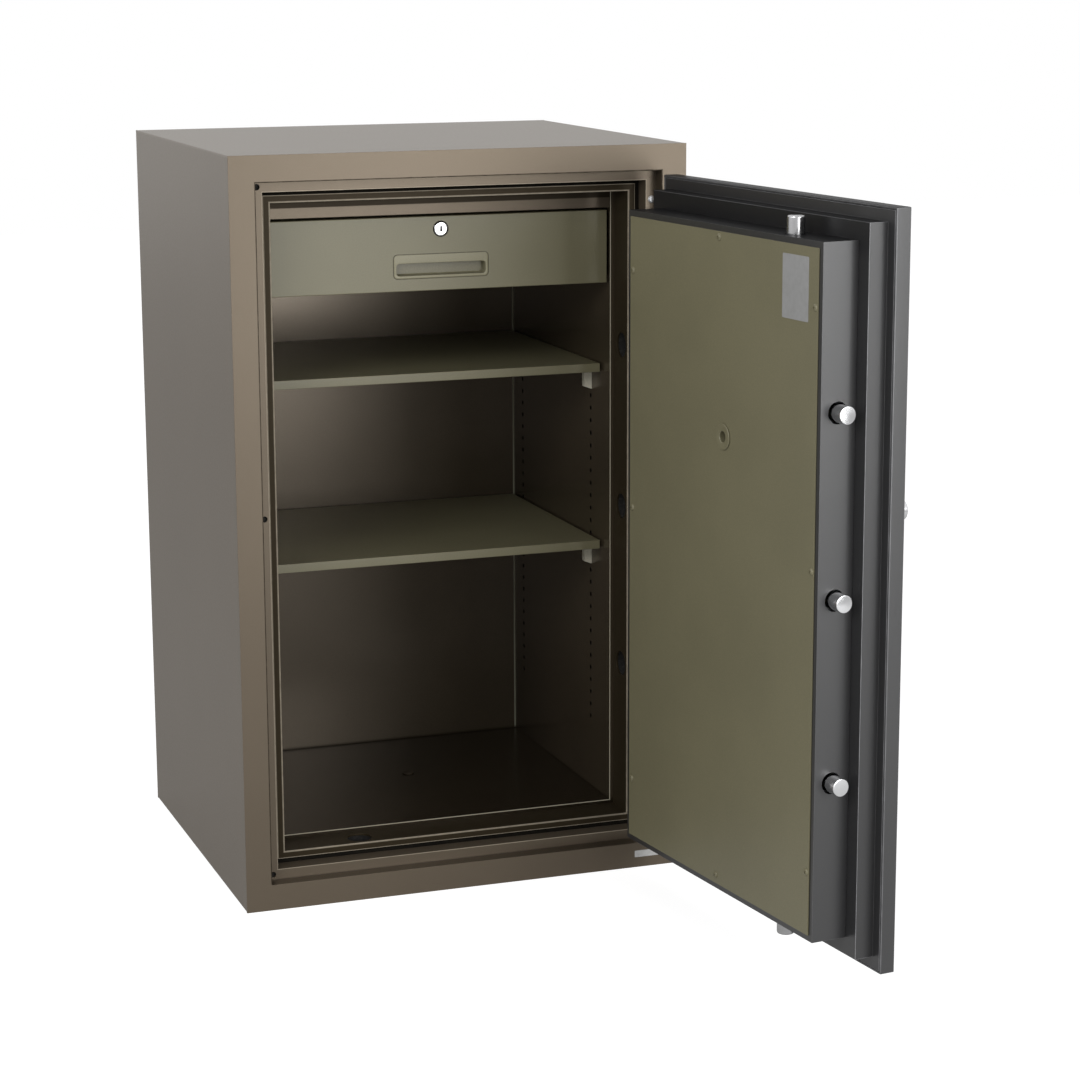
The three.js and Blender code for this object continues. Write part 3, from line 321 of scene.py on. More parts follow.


# The frame carries a painted highlight line on the sunk strip, a painted shadow line along its inner edge
# and painted shade on the recess wall.
frame_paint = edge_paint(
    "bronze frame paint", (0.080, 0.064, 0.046), 0.9,
    highlight_edges=[(0.049, 0.022, 0.0008)], shadow_edges=[(0.035, 0.0, 0.0013)], shaded_wall=0.035,
)
front_frame = rounded_copy("front_frame", "front_frame_dressed", frame_paint, 0.0011, 3, on_front_side)
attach(front_frame, "cabinet")
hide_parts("front_frame")


# The inner jamb: the folded rim that the bolt box enters, with round strike holes punched
# for the bolts. It is painted dark, and painted highlights along its edges make the bright lines round the
# opening.
jamb_paint = edge_paint(
    "dark jamb paint", (0.029, 0.022, 0.0125), 0.12,
    highlight_edges=[(0.065, 0.046, 0.0018), (0.055, 0.046, 0.0011)], bright_highlight_edges=[(0.070, 0.099, 0.0015)],
)
jamb_end = -0.1795
jamb = rounded_copy("inner_jamb", "inner_jamb_dressed", jamb_paint, 0.0009, 2, in_front_of(jamb_end))
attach(jamb, "cabinet")
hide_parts("inner_jamb")


# The fire seal: a black strip laid in the groove between frame and jamb, which swells and
# closes the gap in a fire. It is matt and finely pored.
def black_rubber(name):
    """Black swelling strip: matt, slightly bloomed and finely pored."""
    material, tree, shader, here = new_paint(name)
    bloom = noise_in(tree, here, 30, 5)
    fill(shader, {
        "Base Color": ramp_in(tree, bloom, [(0.35, (0.005, 0.0042, 0.003)), (0.7, (0.010, 0.0085, 0.006))]),
        "Roughness": spread(tree, bloom, 0.72, 0.92),
        "Specular IOR Level": 0.08,
        "Normal": bump_in(tree, noise_in(tree, here, 1400, 3), 1.0, 0.00008),
    })
    return material


seal_rubber = black_rubber("black fire seal")
fire_seal = rounded_copy("frame_seal", "fire_seal", seal_rubber, 0.0008, 2)
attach(fire_seal, "cabinet")
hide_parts("frame_seal")


# The filling: a cast of light fire-resistant concrete between body and lining. It shows only
# at the bottom of the strike holes, and is painted near black there as painted shade.
def cast_filling(name):
    """Cast light concrete: gritty and fully matt, painted near black as the shade in the holes."""
    material, tree, shader, here = new_paint(name)
    grit = noise_in(tree, here, 160, 8)
    fill(shader, {
        "Base Color": ramp_in(tree, grit, [
            (0.3, (0.006, 0.0055, 0.005)), (0.55, (0.012, 0.011, 0.0095)), (0.75, (0.03, 0.028, 0.025)),
        ]),
        "Normal": bump_in(tree, grit, 1.0, 0.0006),
        "Roughness": 0.95,
    })
    return material


def repaint(paint, *nodes):
    """Gives a finish to CAD pieces that keep their own shape."""
    for node in nodes:
        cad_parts[node].material_slots[0].material = paint


fire_filling = cast_filling("fire filling")
repaint(fire_filling, "insulation_fill", "door_insulation")


# The inner lining: a thin welded steel box with two columns of small punched holes in each
# side wall, which the shelf clips plug into. It is sprayed dark brown, painted darker and duller
# on its floor, with painted shade on its side walls towards the back, painted highlights along
# its rear corners and front rim, and the walls of its holes painted black as shade.
def new_tree(name, settings):
    """A geometry tree that takes a form and the given settings, and those inputs.

    Each setting has its usual value, which also gives its kind. None stands for a material.
    """
    kinds = {float: "Float", int: "Int", tuple: "Vector", type(None): "Material"}
    tree = bpy.data.node_groups.new(name, "GeometryNodeTree")
    tree.interface.new_socket("Geometry", in_out="INPUT", socket_type="NodeSocketGeometry")
    for title, value in settings.items():
        kind = "NodeSocket" + kinds[type(value)]
        socket = tree.interface.new_socket(title, in_out="INPUT", socket_type=kind)
        if value is not None:
            socket.default_value = value
    tree.interface.new_socket("Geometry", in_out="OUTPUT", socket_type="NodeSocketGeometry")
    return tree, tree.nodes.new("NodeGroupInput").outputs


def set_at(tree, points, form, more):
    """Sets a copy of a form at each point, turned or scaled as the other inputs say."""
    placed = out_of(tree, "GeometryNodeInstanceOnPoints", {"Points": points, "Instance": form, **more})
    return out_of(tree, "GeometryNodeRealizeInstances", {"Geometry": placed})


def end_tree(tree, form, finish):
    """Paints what a tree has built and gives it out."""
    painted = out_of(tree, "GeometryNodeSetMaterial", {"Geometry": form, "Material": finish})
    node_in(tree, "NodeGroupOutput", {0: painted})
    return tree


def punched_holes_tree():
    """Cuts columns of round holes through both side walls of the piece it is put on."""
    tree, given = new_tree("punched clip holes", {
        "Hole radius": 0.0025, "Pitch": 0.018, "Count": 28, "First height": 0.18, "Front column": 0.0,
        "Rear column": 0.1, "Bore length": 0.6, "Finish": None,
    })
    step = vector_in(tree, z=given["Pitch"])
    both = node_in(tree, "GeometryNodeJoinGeometry")
    for column in ("Front column", "Rear column"):
        start = vector_in(tree, y=given[column], z=given["First height"])
        line = {"Count": given["Count"], "Start Location": start, "Offset": step}
        fill(both, {0: out_of(tree, "GeometryNodeMeshLine", line)})
    drill = out_of(tree, "GeometryNodeMeshCylinder", {
        "Vertices": 20, "Radius": given["Hole radius"], "Depth": given["Bore length"],
    })
    drills = set_at(tree, both.outputs[0], drill, {"Rotation": (0.0, math.radians(90), 0.0)})
    cut = out_of(
        tree, "GeometryNodeMeshBoolean", {"Mesh 1": given["Geometry"], "Mesh 2": drills},
        operation="DIFFERENCE", solver="EXACT",
    )
    return end_tree(tree, cut, given["Finish"])


def with_tree(piece, tree, values):
    """Runs a node tree on a piece and leaves the result as its plain mesh."""
    run = piece.modifiers.new(tree.name, "NODES")
    run.node_group = tree
    for socket in tree.interface.items_tree:
        if socket.in_out == "INPUT" and socket.name in values:
            run[socket.identifier] = values[socket.name]
    settled(piece)
    piece.data.polygons.foreach_set("use_smooth", [True] * len(piece.data.polygons))
    piece.data.set_sharp_from_angle(angle=math.radians(38))


def mark_in(tree, name):
    """A mark that the piece's own faces or corners carry."""
    return node_in(tree, "ShaderNodeAttribute", attribute_name=name).outputs["Fac"]


def dark_lining_paint():
    """Dark brown paint: darker and duller on the floor, with painted shade towards the back, painted
    highlights in the rear corners and on the rim, and painted black shade in the holes.
    """
    material = sprayed_paint(
        "dark lining paint", (0.046, 0.036, 0.023), 0.25, 700, 0.000004, patchiness=0.08, lustre=0.9,
        glint=(1.0, 0.86, 0.7),
    )
    tree, shader, here, walls = over(material)
    place = axes_in(tree, here)
    on_floor = ranged(tree, place["Z"], bay_floor + 0.0002, bay_floor + 0.004, 1.0, 0.0)
    aside = maths(tree, "ABSOLUTE", place["X"])
    # Painted shade: the side walls darker towards the back.
    side_wall = ranged(tree, aside, bay_half - 0.0020, bay_half - 0.0008)
    back_shade = ranged(tree, place["Y"], 0.0, 0.215, 0.0, 0.8)
    walls = blend(tree, maths(tree, "MULTIPLY", side_wall, back_shade), walls, (0.010, 0.009, 0.006))
    section = vector_in(tree, aside, place["Y"])
    # Painted highlight: a pale line along each rear corner.
    corner = ranged(tree, distance_in(tree, section, bay_half, bay_back), 0.0013, 0.0021, 1.0, 0.0)
    walls = blend(tree, corner, walls, (0.27, 0.27, 0.21))
    # The floor is painted darker, and below it is made duller.
    darker_floor = blend(tree, on_floor, walls, (0.020, 0.015, 0.009))
    # Painted highlight: the rounded front rim painted pale.
    rim_highlighted = blend(tree, mark_in(tree, "fold"), darker_floor, (0.38, 0.35, 0.27))
    # Painted shade: the walls of the clip holes are painted black.
    bore = mark_in(tree, "bore")
    dull_places = maths(tree, "MAXIMUM", on_floor, bore)
    fill(shader, {
        "Base Color": blend(tree, bore, rim_highlighted, (0.002, 0.002, 0.002)),
        "Specular IOR Level": ranged(tree, dull_places, 0.0, 1.0, 0.9, 0.2),
    })
    return material


def in_hole(face):
    """Whether a face is a wall of one of the clip holes, which are bored through the side walls."""
    level = abs(face.normal.x) < 0.5
    in_wall = bay_half + 0.0001 < abs(face.center.x) < bay_half + 0.0025
    off_column = min(abs(face.center.y - column) for column in clip_columns.values())
    return level and in_wall and off_column < 0.004


bay_half, bay_floor, bay_back, bay_rim = 0.242, 0.070, 0.224, -0.16
clip_columns = {"front": front_y + 0.174, "rear": front_y + 0.462}
lining_paint = dark_lining_paint()
lining = rounded_copy("inner_lining", "lining", None, 0.0012, 2, in_front_of(bay_rim))
with_tree(lining, punched_holes_tree(), {
    "Hole radius": 0.0032, "Pitch": 0.0179, "Count": 27, "First height": 0.1744,
    "Front column": clip_columns["front"], "Rear column": clip_columns["rear"],
    "Bore length": 0.6, "Finish": lining_paint,
})
hole_walls = lining.data.attributes.new("bore", "FLOAT", "FACE")
hole_walls.data.foreach_set("value", [float(in_hole(face)) for face in lining.data.polygons])
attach(lining, "cabinet")
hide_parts("inner_lining")


# The header rail: a folded strip spot-welded across the lining above the drawer. Its paint
# carries a painted shadow along the top, where the jamb's edge shades it.
def header_rail_paint():
    """The cabinet's paint, with a painted shadow along the top, where the jamb shades it."""
    material = bronze("bronze header paint")
    tree, shader, here, shade = over(material)
    jamb_edge = 0.9225
    # Painted shadow: dark and dull above the line where the jamb's shadow falls.
    jamb_shadow = ranged(tree, axes_in(tree, here)["Z"], jamb_edge - 0.0006, jamb_edge + 0.0006)
    fill(shader, {
        "Base Color": blend(tree, jamb_shadow, shade, (0.034, 0.027, 0.018)),
        "Specular IOR Level": ranged(tree, jamb_shadow, 0.0, 1.0, 0.9, 0.1),
    })
    return material


header = rounded_copy("drawer_header", "header_rail", header_rail_paint(), 0.0008, 2)
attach(header, "cabinet")
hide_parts("drawer_header")


# The drawer runners: two pressed channels of bare steel, which are screwed to the lining's
# walls and grip the rims of the drawer's tray.
def rolled_steel(name, colour, dull, lines_along):
    """Bare steel with fine rolling lines and faint stains."""
    material, tree, shader, here = new_paint(name)
    stain = noise_in(tree, here, 18, 5)
    lines = noise_in(tree, here, 240, 3, lines_along)
    darker = tuple(c * 0.72 for c in colour)
    fill(shader, {
        "Base Color": ramp_in(tree, stain, [(0.35, darker), (0.6, colour)]),
        "Roughness": spread(tree, lines, dull - 0.08, dull + 0.1),
        "Normal": bump_in(tree, lines, 0.6, 0.00003),
        "Metallic": 1.0,
    })
    return material


steel = rolled_steel("bare rolled steel", (0.52, 0.53, 0.54), 0.36, (1, 12, 12))
repaint(steel, "drawer_runner_left", "drawer_runner_right")


# The shelves: two shallow pressed trays of sheet steel with their rims turned down all round,
# sprayed khaki. They lie loose on the clips.
khaki_paint = sprayed_paint(
    "khaki shelf and drawer paint", (0.185, 0.170, 0.102), 0.40, 800, 0.00004, patchiness=0.04,
)
for node, name in (("shelf_upper", "upper_shelf"), ("shelf_lower", "lower_shelf")):
    shelf = rounded_copy(node, name, khaki_paint, 0.0006, 2)
    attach(shelf, "cabinet")
    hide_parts(node)


# The shelf clips: eight small pressed wedges with pale paint, hooked into the lining's holes
# under the shelves. All eight are one pressing, so one is modelled and set at its eight places.
def clips_tree():
    """Sets one clip at each point, turned round by the point's own angle."""
    tree, given = new_tree("shelf clips", {"Reach": 0.011, "Width": 0.009, "Height": 0.029, "Finish": None})
    size = vector_in(tree, given["Reach"], given["Width"], given["Height"])
    faces = {"Vertices X": 4, "Vertices Y": 4, "Vertices Z": 9}
    blank = out_of(tree, "GeometryNodeMeshCube", {"Size": size, **faces})
    axes = axes_in(tree, out_of(tree, "GeometryNodeInputPosition"))
    low = maths(tree, "DIVIDE", axes["Z"], given["Height"])
    lean = ranged(tree, low, -0.5, -0.379, 0.12, 1.0)
    from_wall = maths(tree, "ADD", axes["X"], maths(tree, "MULTIPLY", given["Reach"], 0.5))
    drop = maths(tree, "ADD", axes["Z"], maths(tree, "MULTIPLY", given["Height"], -0.5))
    place = vector_in(tree, maths(tree, "MULTIPLY", from_wall, lean), axes["Y"], drop)
    wedge = out_of(tree, "GeometryNodeSetPosition", {"Geometry": blank, "Position": place})
    angle = out_of(tree, "GeometryNodeInputNamedAttribute", {"Name": "facing"}, data_type="FLOAT")
    clips = set_at(tree, given["Geometry"], wedge, {"Rotation": vector_in(tree, z=angle)})
    return end_tree(tree, clips, given["Finish"])


def points_at(name, places, mark=None, kind="FLOAT", values=()):
    """A mesh of bare points for a tree to build on, each with a mark of its own where asked."""
    mesh = bpy.data.meshes.new(name)
    mesh.from_pydata(places, [], [])
    if mark:
        note = mesh.attributes.new(mark, kind, "POINT")
        note.data.foreach_set("vector" if kind == "FLOAT_VECTOR" else "value", values)
    return in_scene(name, mesh)


clip_places, clip_facings, clip_nodes = [], [], []
for level, underside in (("upper", 0.679), ("lower", 0.4285)):
    for end, column in clip_columns.items():
        for side, sign in (("left", -1), ("right", 1)):
            clip_places.append((sign * (bay_half - 0.0002), column, underside - 0.0003))
            clip_facings.append(0.0 if sign < 0 else math.pi)
            clip_nodes.append(f"shelf_clip_{level}_{end}_{side}")
clip_paint = sprayed_paint(
    "pale clip paint", (0.84, 0.80, 0.66), 0.4, 800, 0.00003, patchiness=0.05, lustre=0.3,
)
shelf_clips = points_at("shelf_clips", clip_places, "facing", values=clip_facings)
with_tree(
    shelf_clips, clips_tree(), {"Reach": 0.011, "Width": 0.009, "Height": 0.029, "Finish": clip_paint},
)
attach(shelf_clips, "cabinet")
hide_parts(*clip_nodes)


# The floor anchor's plug: a turned cap in the lining's paint, pushed into the hole that a
# holding-down bolt uses.
def turned(shape, profile, sides, place, hollow=False, knurl=0.0):
    """Adds a turned form: (radius, height) points about Z, from pole to pole or as a hollow ring.

    On a point with a third value, every other corner is drawn in by the knurl's depth.
    """
    rings = []
    for radius, height, *knurled in profile:
        ring = []
        for i in range(sides if radius > 1e-7 else 1):
            angle = 2 * math.pi * i / sides
            r = radius - (knurl if knurled and i % 2 else 0.0)
            ring.append(shape.verts.new(place @ Vector((r * math.cos(angle), r * math.sin(angle), height))))
        rings.append(ring)
    for low, high in zip(rings, rings[1:] + rings[:1] if hollow else rings[1:]):
        for i in range(sides):
            j = (i + 1) % sides
            corners = [low[i % len(low)], low[j % len(low)], high[j % len(high)], high[i % len(high)]]
            shape.faces.new(list(dict.fromkeys(corners)))
    bmesh.ops.recalc_face_normals(shape, faces=shape.faces)
    return shape


def at(x, y, z):
    """A move to a place."""
    return Matrix.Translation((x, y, z))


plug = turned(bmesh.new(), [
    (0, -0.008), (0.0066, -0.008), (0.0067, 0.0), (0.009, 0.0), (0.009, 0.0011), (0.0084, 0.0018),
    (0.0062, 0.002), (0.0052, 0.0014), (0, 0.0013),
], 40, at(0.012, front_y + 0.324, bay_floor))
anchor_plug = made(plug, "floor_plug", lining_paint)
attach(anchor_plug, "cabinet")
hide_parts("anchor_plug")


# The drawer: a folded front with its edges turned back, spot-welded to a tray of thin sheet,
# both sprayed khaki like the shelves.
flange_end = -0.159
drawer_front = rounded_copy("drawer_front", "drawer_face", khaki_paint, 0.0013, 3, in_front_of(flange_end))
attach(drawer_front, "drawer")
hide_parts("drawer_front")

drawer_tray = rounded_copy("drawer_tray", "drawer_box", khaki_paint, 0.0005, 1)
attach(drawer_tray, "drawer")
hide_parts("drawer_tray")


# The drawer's pull: a pressed cup that fingers reach into, with a broad rolled lip above it and
# a narrow rim on its other three sides. It clips into the drawer's front.
def rounded_outline(width, height, radius, steps):
    """Points of a rectangle with round corners about the origin, anticlockwise."""
    points = []
    for sx, sz, start in ((1, -1, -90), (1, 1, 0), (-1, 1, 90), (-1, -1, 180)):
        for i in range(steps + 1):
            angle = math.radians(start + 90 * i / steps)
            points.append((
                sx * (width / 2 - radius) + radius * math.cos(angle),
                sz * (height / 2 - radius) + radius * math.sin(angle),
            ))
    return points


def skinned(shape, loops):
    """Joins closed loops of equal length into a skin and caps both ends."""
    rings = [[shape.verts.new(p) for p in loop] for loop in loops]
    count = len(rings[0])
    for low, high in zip(rings, rings[1:]):
        for i in range(count):
            j = (i + 1) % count
            shape.faces.new((low[i], low[j], high[j], high[i]))
    shape.faces.new(rings[0])
    shape.faces.new(rings[-1][::-1])
    bmesh.ops.recalc_face_normals(shape, faces=shape.faces)
    return shape


def pull_shade_paint(name, colour):
    """Paint with painted shade where the piece's own mark is set: a dark line in the seam round it, and its
    cup darker inside.
    """
    material = sprayed_paint(name, colour, 0.38, 800, 0.00003, patchiness=0.04)
    tree, shader, here, unshaded = over(material)
    uneven = spread(tree, noise_in(tree, here, 300, 4), 0.75, 1.0)
    # Painted shade, broken up a little by noise.
    pull_shade_amount = maths(tree, "MULTIPLY", mark_in(tree, "pull_shade"), uneven)
    fill(shader, {"Base Color": blend(tree, pull_shade_amount, unshaded, (0.028, 0.025, 0.016))})
    return material


pull_face, pull_middle, cup_middle = -0.180, 0.8395, 0.8355
pull_loops = []
for width, height, radius, middle, depth in (
    (0.1254, 0.0169, 0.0045, cup_middle, 0.0150), (0.1276, 0.0191, 0.0056, cup_middle, 0.0142),
    (0.1280, 0.0195, 0.0060, cup_middle, -0.0001), (0.1334, 0.0329, 0.0058, pull_middle, -0.0001),
    (0.1340, 0.0335, 0.0060, pull_middle, -0.0002), (0.1328, 0.0323, 0.0056, pull_middle, -0.0003),
    (0.1322, 0.0317, 0.0054, pull_middle, -0.0008), (0.1308, 0.0303, 0.0050, pull_middle, -0.0012),
    (0.1264, 0.0180, 0.0052, cup_middle, -0.0012), (0.1252, 0.0167, 0.0046, cup_middle, -0.0008),
    (0.1248, 0.0163, 0.0044, cup_middle, 0.0002), (0.1242, 0.0157, 0.0042, cup_middle, 0.0118),
    (0.1222, 0.0137, 0.0034, cup_middle, 0.0130),
):
    outline = rounded_outline(width, height, radius, 8)
    pull_loops.append([(x, pull_face + depth, middle + z) for x, z in outline])
pull_shape = skinned(bmesh.new(), pull_loops)
# Painted shade: a dark line round the rim where it meets the front, and the cup darker inside.
pull_shade_mark = pull_shape.verts.layers.float.new("pull_shade")
for corner in pull_shape.verts:
    depth = corner.co.y - pull_face
    in_shade_line, in_cup = -0.00035 < depth < -0.00015, depth > 0.001
    corner[pull_shade_mark] = 1.0 if in_shade_line else 0.35 if in_cup else 0.0
pull = made(pull_shape, "drawer_pull_cup", pull_shade_paint("pale pull paint", (0.245, 0.226, 0.140)))
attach(pull, "drawer")
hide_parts("drawer_pull")


# The drawer's lock: a chromed cam lock with a bevelled face and an upright key slot, with a
# black block behind the slot as painted shade, on a thin black ring that is painted shade round its flange.
def polished_metal(name, colour, gloss, wipe_marks):
    """Polished plate: clear reflections with fine wipe marks and faint fingerprints."""
    material, tree, shader, here = new_paint(name)
    print_marks = noise_in(tree, here, 90, 5)
    wipes = noise_in(tree, here, 500, 3, (1, 1, 9))
    hazy = tuple(c * 0.93 for c in colour)
    fill(shader, {
        "Base Color": ramp_in(tree, print_marks, [(0.35, colour), (0.7, hazy)]),
        "Roughness": spread(tree, print_marks, gloss * 0.7, gloss * 1.5),
        "Normal": bump_in(tree, wipes, 1.0, wipe_marks),
        "Metallic": 1.0,
    })
    return material


def rotated(degrees, axis):
    """A turn about one of the axes."""
    return Matrix.Rotation(math.radians(degrees), 4, axis)


chrome = polished_metal("chrome plate", (0.74, 0.745, 0.755), 0.14, 0.000004)
to_front = rotated(90, "X")


def bored(shape, tool):
    """Takes one closed form out of another, exactly."""
    parts = []
    for form, name in ((shape, "stock"), (tool, "cutter")):
        mesh = bpy.data.meshes.new(name)
        form.to_mesh(mesh)
        form.free()
        parts.append(in_scene(name, mesh))
    stock, cutter = parts
    cut = stock.modifiers.new("cut", "BOOLEAN")
    cut.object, cut.operation, cut.solver = cutter, "DIFFERENCE", "EXACT"
    settled(stock)
    result = bmesh.new()
    result.from_mesh(stock.data)
    for part in parts:
        bpy.data.objects.remove(part)
    return result


def block_form(shape, low, high, place=Matrix.Identity(4)):
    """Adds a plain block between two corners to a shape."""
    corners = [
        shape.verts.new(place @ Vector((x, y, z)))
        for x in (low[0], high[0]) for y in (low[1], high[1]) for z in (low[2], high[2])
    ]
    for face in ((0, 1, 3, 2), (4, 6, 7, 5), (0, 4, 5, 1), (2, 3, 7, 6), (0, 2, 6, 4), (1, 5, 7, 3)):
        shape.faces.new([corners[i] for i in face])
    bmesh.ops.recalc_face_normals(shape, faces=shape.faces)
    return shape


lock_centre = at(0, pull_face, 0.8885)
lock_place = lock_centre @ to_front
barrel = turned(bmesh.new(), [
    (0.0058, -0.0175), (0.0080, -0.0175), (0.0080, 0.0001), (0.0094, 0.0001), (0.0095, 0.0010),
    (0.0090, 0.0017), (0.0080, 0.0020), (0.0062, 0.0019), (0.0058, 0.0015),
], 48, lock_place, hollow=True)
drawer_lock = made(barrel, "drawer_lock_barrel", chrome)
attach(drawer_lock, "drawer")
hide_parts("drawer_lock_body")

# A thin black ring under the flange: painted shade round the lock.
shade_ring = turned(
    bmesh.new(), [(0.0085, 0.0001), (0.0107, 0.0001), (0.0107, 0.0005), (0.0103, 0.0007), (0.0085, 0.0007)],
    48, lock_place, hollow=True,
)
lock_shade_ring = made(shade_ring, "drawer_lock_shade_ring", seal_rubber)
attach(lock_shade_ring, "drawer")

core = turned(
    bmesh.new(), [(0, -0.0218), (0.00575, -0.0218), (0.00575, 0.0014), (0.0054, 0.0017), (0, 0.0018)], 48,
    lock_place,
)
core = bored(
    core, block_form(bmesh.new(), (-0.0016, -0.004, -0.0040), (0.0016, 0.008, 0.0040), lock_centre),
)
block_form(core, (-0.005, 0.0203, -0.005), (0.025, 0.0228, 0.005), lock_centre)
drawer_lock_core = made(core, "drawer_lock_core", chrome)
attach(drawer_lock_core, "drawer_lock")
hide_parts("drawer_lock_plug")

# A black block just behind the key slot: painted shade that makes the slot read dark.
slot_shade = block_form(bmesh.new(), (-0.0015, -0.0013, -0.0039), (0.0015, 0.0006, 0.0039), lock_centre)
lock_slot_shade = made(slot_shade, "drawer_lock_slot_shade", seal_rubber)
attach(lock_slot_shade, "drawer_lock")


# The hinges: two pairs of turned knuckles on a headed steel pin. The lower knuckle of each pair
# is welded to the frame by its foot, and the upper one to the door by its leaf.
hinge_x, hinge_y, door_angle = 0.297, -0.299, math.radians(96.8)
about_hinge = Matrix.Rotation(door_angle, 4, "Z")
swing = at(hinge_x, hinge_y, 0) @ about_hinge @ at(-hinge_x, -hinge_y, 0)


def joined(shape, other):
    """Adds a second form to a shape."""
    mesh = bpy.data.meshes.new("added")
    other.to_mesh(mesh)
    other.free()
    shape.from_mesh(mesh)
    return shape


def lit_and_shaded_dark_paint(name, colour, gloss):
    """Dark graphite paint: soft rubbed marks, painted highlights on the folds, painted shade and dullness
    on the marked faces and at the top of the step.
    """
    material = sprayed_paint(name, colour, gloss, 1000, 0.00003, patchiness=0.05)
    tree, shader, here, shade = over(material)
    # Lighter is for the rub marks, matt is the colour of the painted shade, and the last is the painted
    # fold highlight.
    lighter, matt, fold_highlight = (tuple(c * times for c in colour) for times in (1.6, 0.55, 15))
    rub = noise_in(tree, here, 14, 6, (1, 1, 0.35))
    shade = blend(tree, ranged(tree, rub, 0.6, 0.8, 0.0, 0.16), shade, lighter)
    # Painted shade: darker and duller on the marked faces and at the top of the step.
    high = ranged(tree, axes_in(tree, here)["Z"], 0.900, 0.926)
    top = maths(tree, "MULTIPLY_ADD", mark_in(tree, "shaded top"), high, mark_in(tree, "dull shaded face"))
    shade = blend(tree, top, shade, matt)
    # Painted highlight: the folds are painted pale, less so where shaded.
    wear_and_highlight = maths(
        tree, "MULTIPLY", mark_in(tree, "fold"), spread(tree, noise_in(tree, here, 60, 5), 0.55, 1.0),
    )
    wear_and_highlight = maths(tree, "MULTIPLY", wear_and_highlight, ranged(tree, top, 0.0, 1.0, 1.0, 0.3))
    fill(shader, {
        "Base Color": blend(tree, wear_and_highlight, shade, fold_highlight),
        "Specular IOR Level": ranged(tree, top, 0.0, 1.0, 0.95, 0.01),
    })
    return material


graphite_paint = lit_and_shaded_dark_paint("graphite door paint", (0.021, 0.021, 0.022), 0.33)

for place, z in (("upper", 0.820), ("lower", 0.180)):
    knuckle = turned(bmesh.new(), [
        (0.0073, -0.0500), (0.0160, -0.0500), (0.0170, -0.0490), (0.0170, -0.0008), (0.0162, 0.0),
        (0.0073, 0.0),
    ], 64, at(hinge_x, hinge_y, z), hollow=True)
    foot = block_form(
        bmesh.new(), (hinge_x - 0.011, hinge_y + 0.0095, z - 0.050), (hinge_x + 0.011, front_y, z),
    )
    frame_knuckle = made(joined(knuckle, foot), f"{place}_frame_knuckle", graphite_paint)
    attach(frame_knuckle, "cabinet")
    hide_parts(f"hinge_{place}_frame_knuckle")

    pin = turned(bmesh.new(), [
        (0, -0.0500), (0.0070, -0.0500), (0.0070, 0.0506), (0.0100, 0.0506), (0.0100, 0.0530),
        (0.0092, 0.0540), (0.0070, 0.0546), (0, 0.0546),
    ], 48, at(hinge_x, hinge_y, z))
    hinge_pin = made(pin, f"{place}_hinge_pin", steel)
    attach(hinge_pin, "cabinet")
    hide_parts(f"hinge_{place}_pin")

    knuckle = turned(bmesh.new(), [
        (0.0073, 0.0003), (0.0162, 0.0003), (0.0170, 0.0011), (0.0170, 0.0493), (0.0160, 0.0503),
        (0.0073, 0.0503),
    ], 64, swing @ at(hinge_x, hinge_y, z), hollow=True)
    leaf = block_form(
        bmesh.new(), (0.222, -0.286, z + 0.0003), (hinge_x - 0.0095, -0.2803, z + 0.0503), swing,
    )
    bmesh.ops.bevel(leaf, geom=leaf.edges[:], offset=0.0008, segments=2, profile=0.5, affect="EDGES")
    door_knuckle = made(joined(knuckle, leaf), f"{place}_door_knuckle", graphite_paint)
    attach(door_knuckle, "door")
    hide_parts(f"hinge_{place}_door_knuckle")


# The door: a folded face plate, a stepped pan behind it and the bolt box on the pan, three
# presswork shells welded one on the other and painted dark graphite grey. The faces that look
# up are painted darker and duller as shade, the top of the step carries painted shade, and the
# folds carry painted highlights.
home = swing.inverted()
inward, sideward = (swing.to_3x3() @ Vector(way) for way in ((0, 1, 0), (-1, 0, 0)))
looking_up, looking_along, plate_back = 0.35, 0.95, -0.240
for node, name, radius, side_shade_and_dullness, top_shade, wear_and_highlight in (
    ("door_skin", "door_plate", 0.0014, 0.0, 0.0, 0.4),
    ("door_step_pan", "door_step", 0.0015, 0.1, 0.7, 1.0),
    ("bolt_box", "bolt_box_shell", 0.0012, 0.0, 0.0, 0.6),
):
    shell = rounded_copy(node, name, graphite_paint, radius, 3)
    # Faces that look up, and on the step some that look sideways, are marked for painted shade and
    # dullness; the step's deep faces for painted shade at its top.
    dull, shaded = [], []
    for face in shell.data.polygons:
        sideways = face.normal.dot(sideward) > looking_along
        behind = face.normal.dot(inward) > looking_along and (home @ face.center).y > plate_back
        dull.append(1.0 if face.normal.z > looking_up else side_shade_and_dullness if sideways else 0.0)
        shaded.append(top_shade if behind else 0.0)
    for mark, values in (("dull shaded face", dull), ("shaded top", shaded)):
        shell.data.attributes.new(mark, "FLOAT", "FACE").data.foreach_set("value", values)
    # The strength of each shell's painted fold highlights.
    for fold in shell.data.attributes["fold"].data:
        fold.value *= wear_and_highlight
    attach(shell, "door")
    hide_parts(node)


# The inner cover: a flat khaki sheet over the bolt work, held by eight small domed screws with
# crossed slots, and pierced once for the change-key bush.
cover = rounded_copy("door_cover", "inner_cover", khaki_paint, 0.0005, 2)
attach(cover, "door")
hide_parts("door_cover")


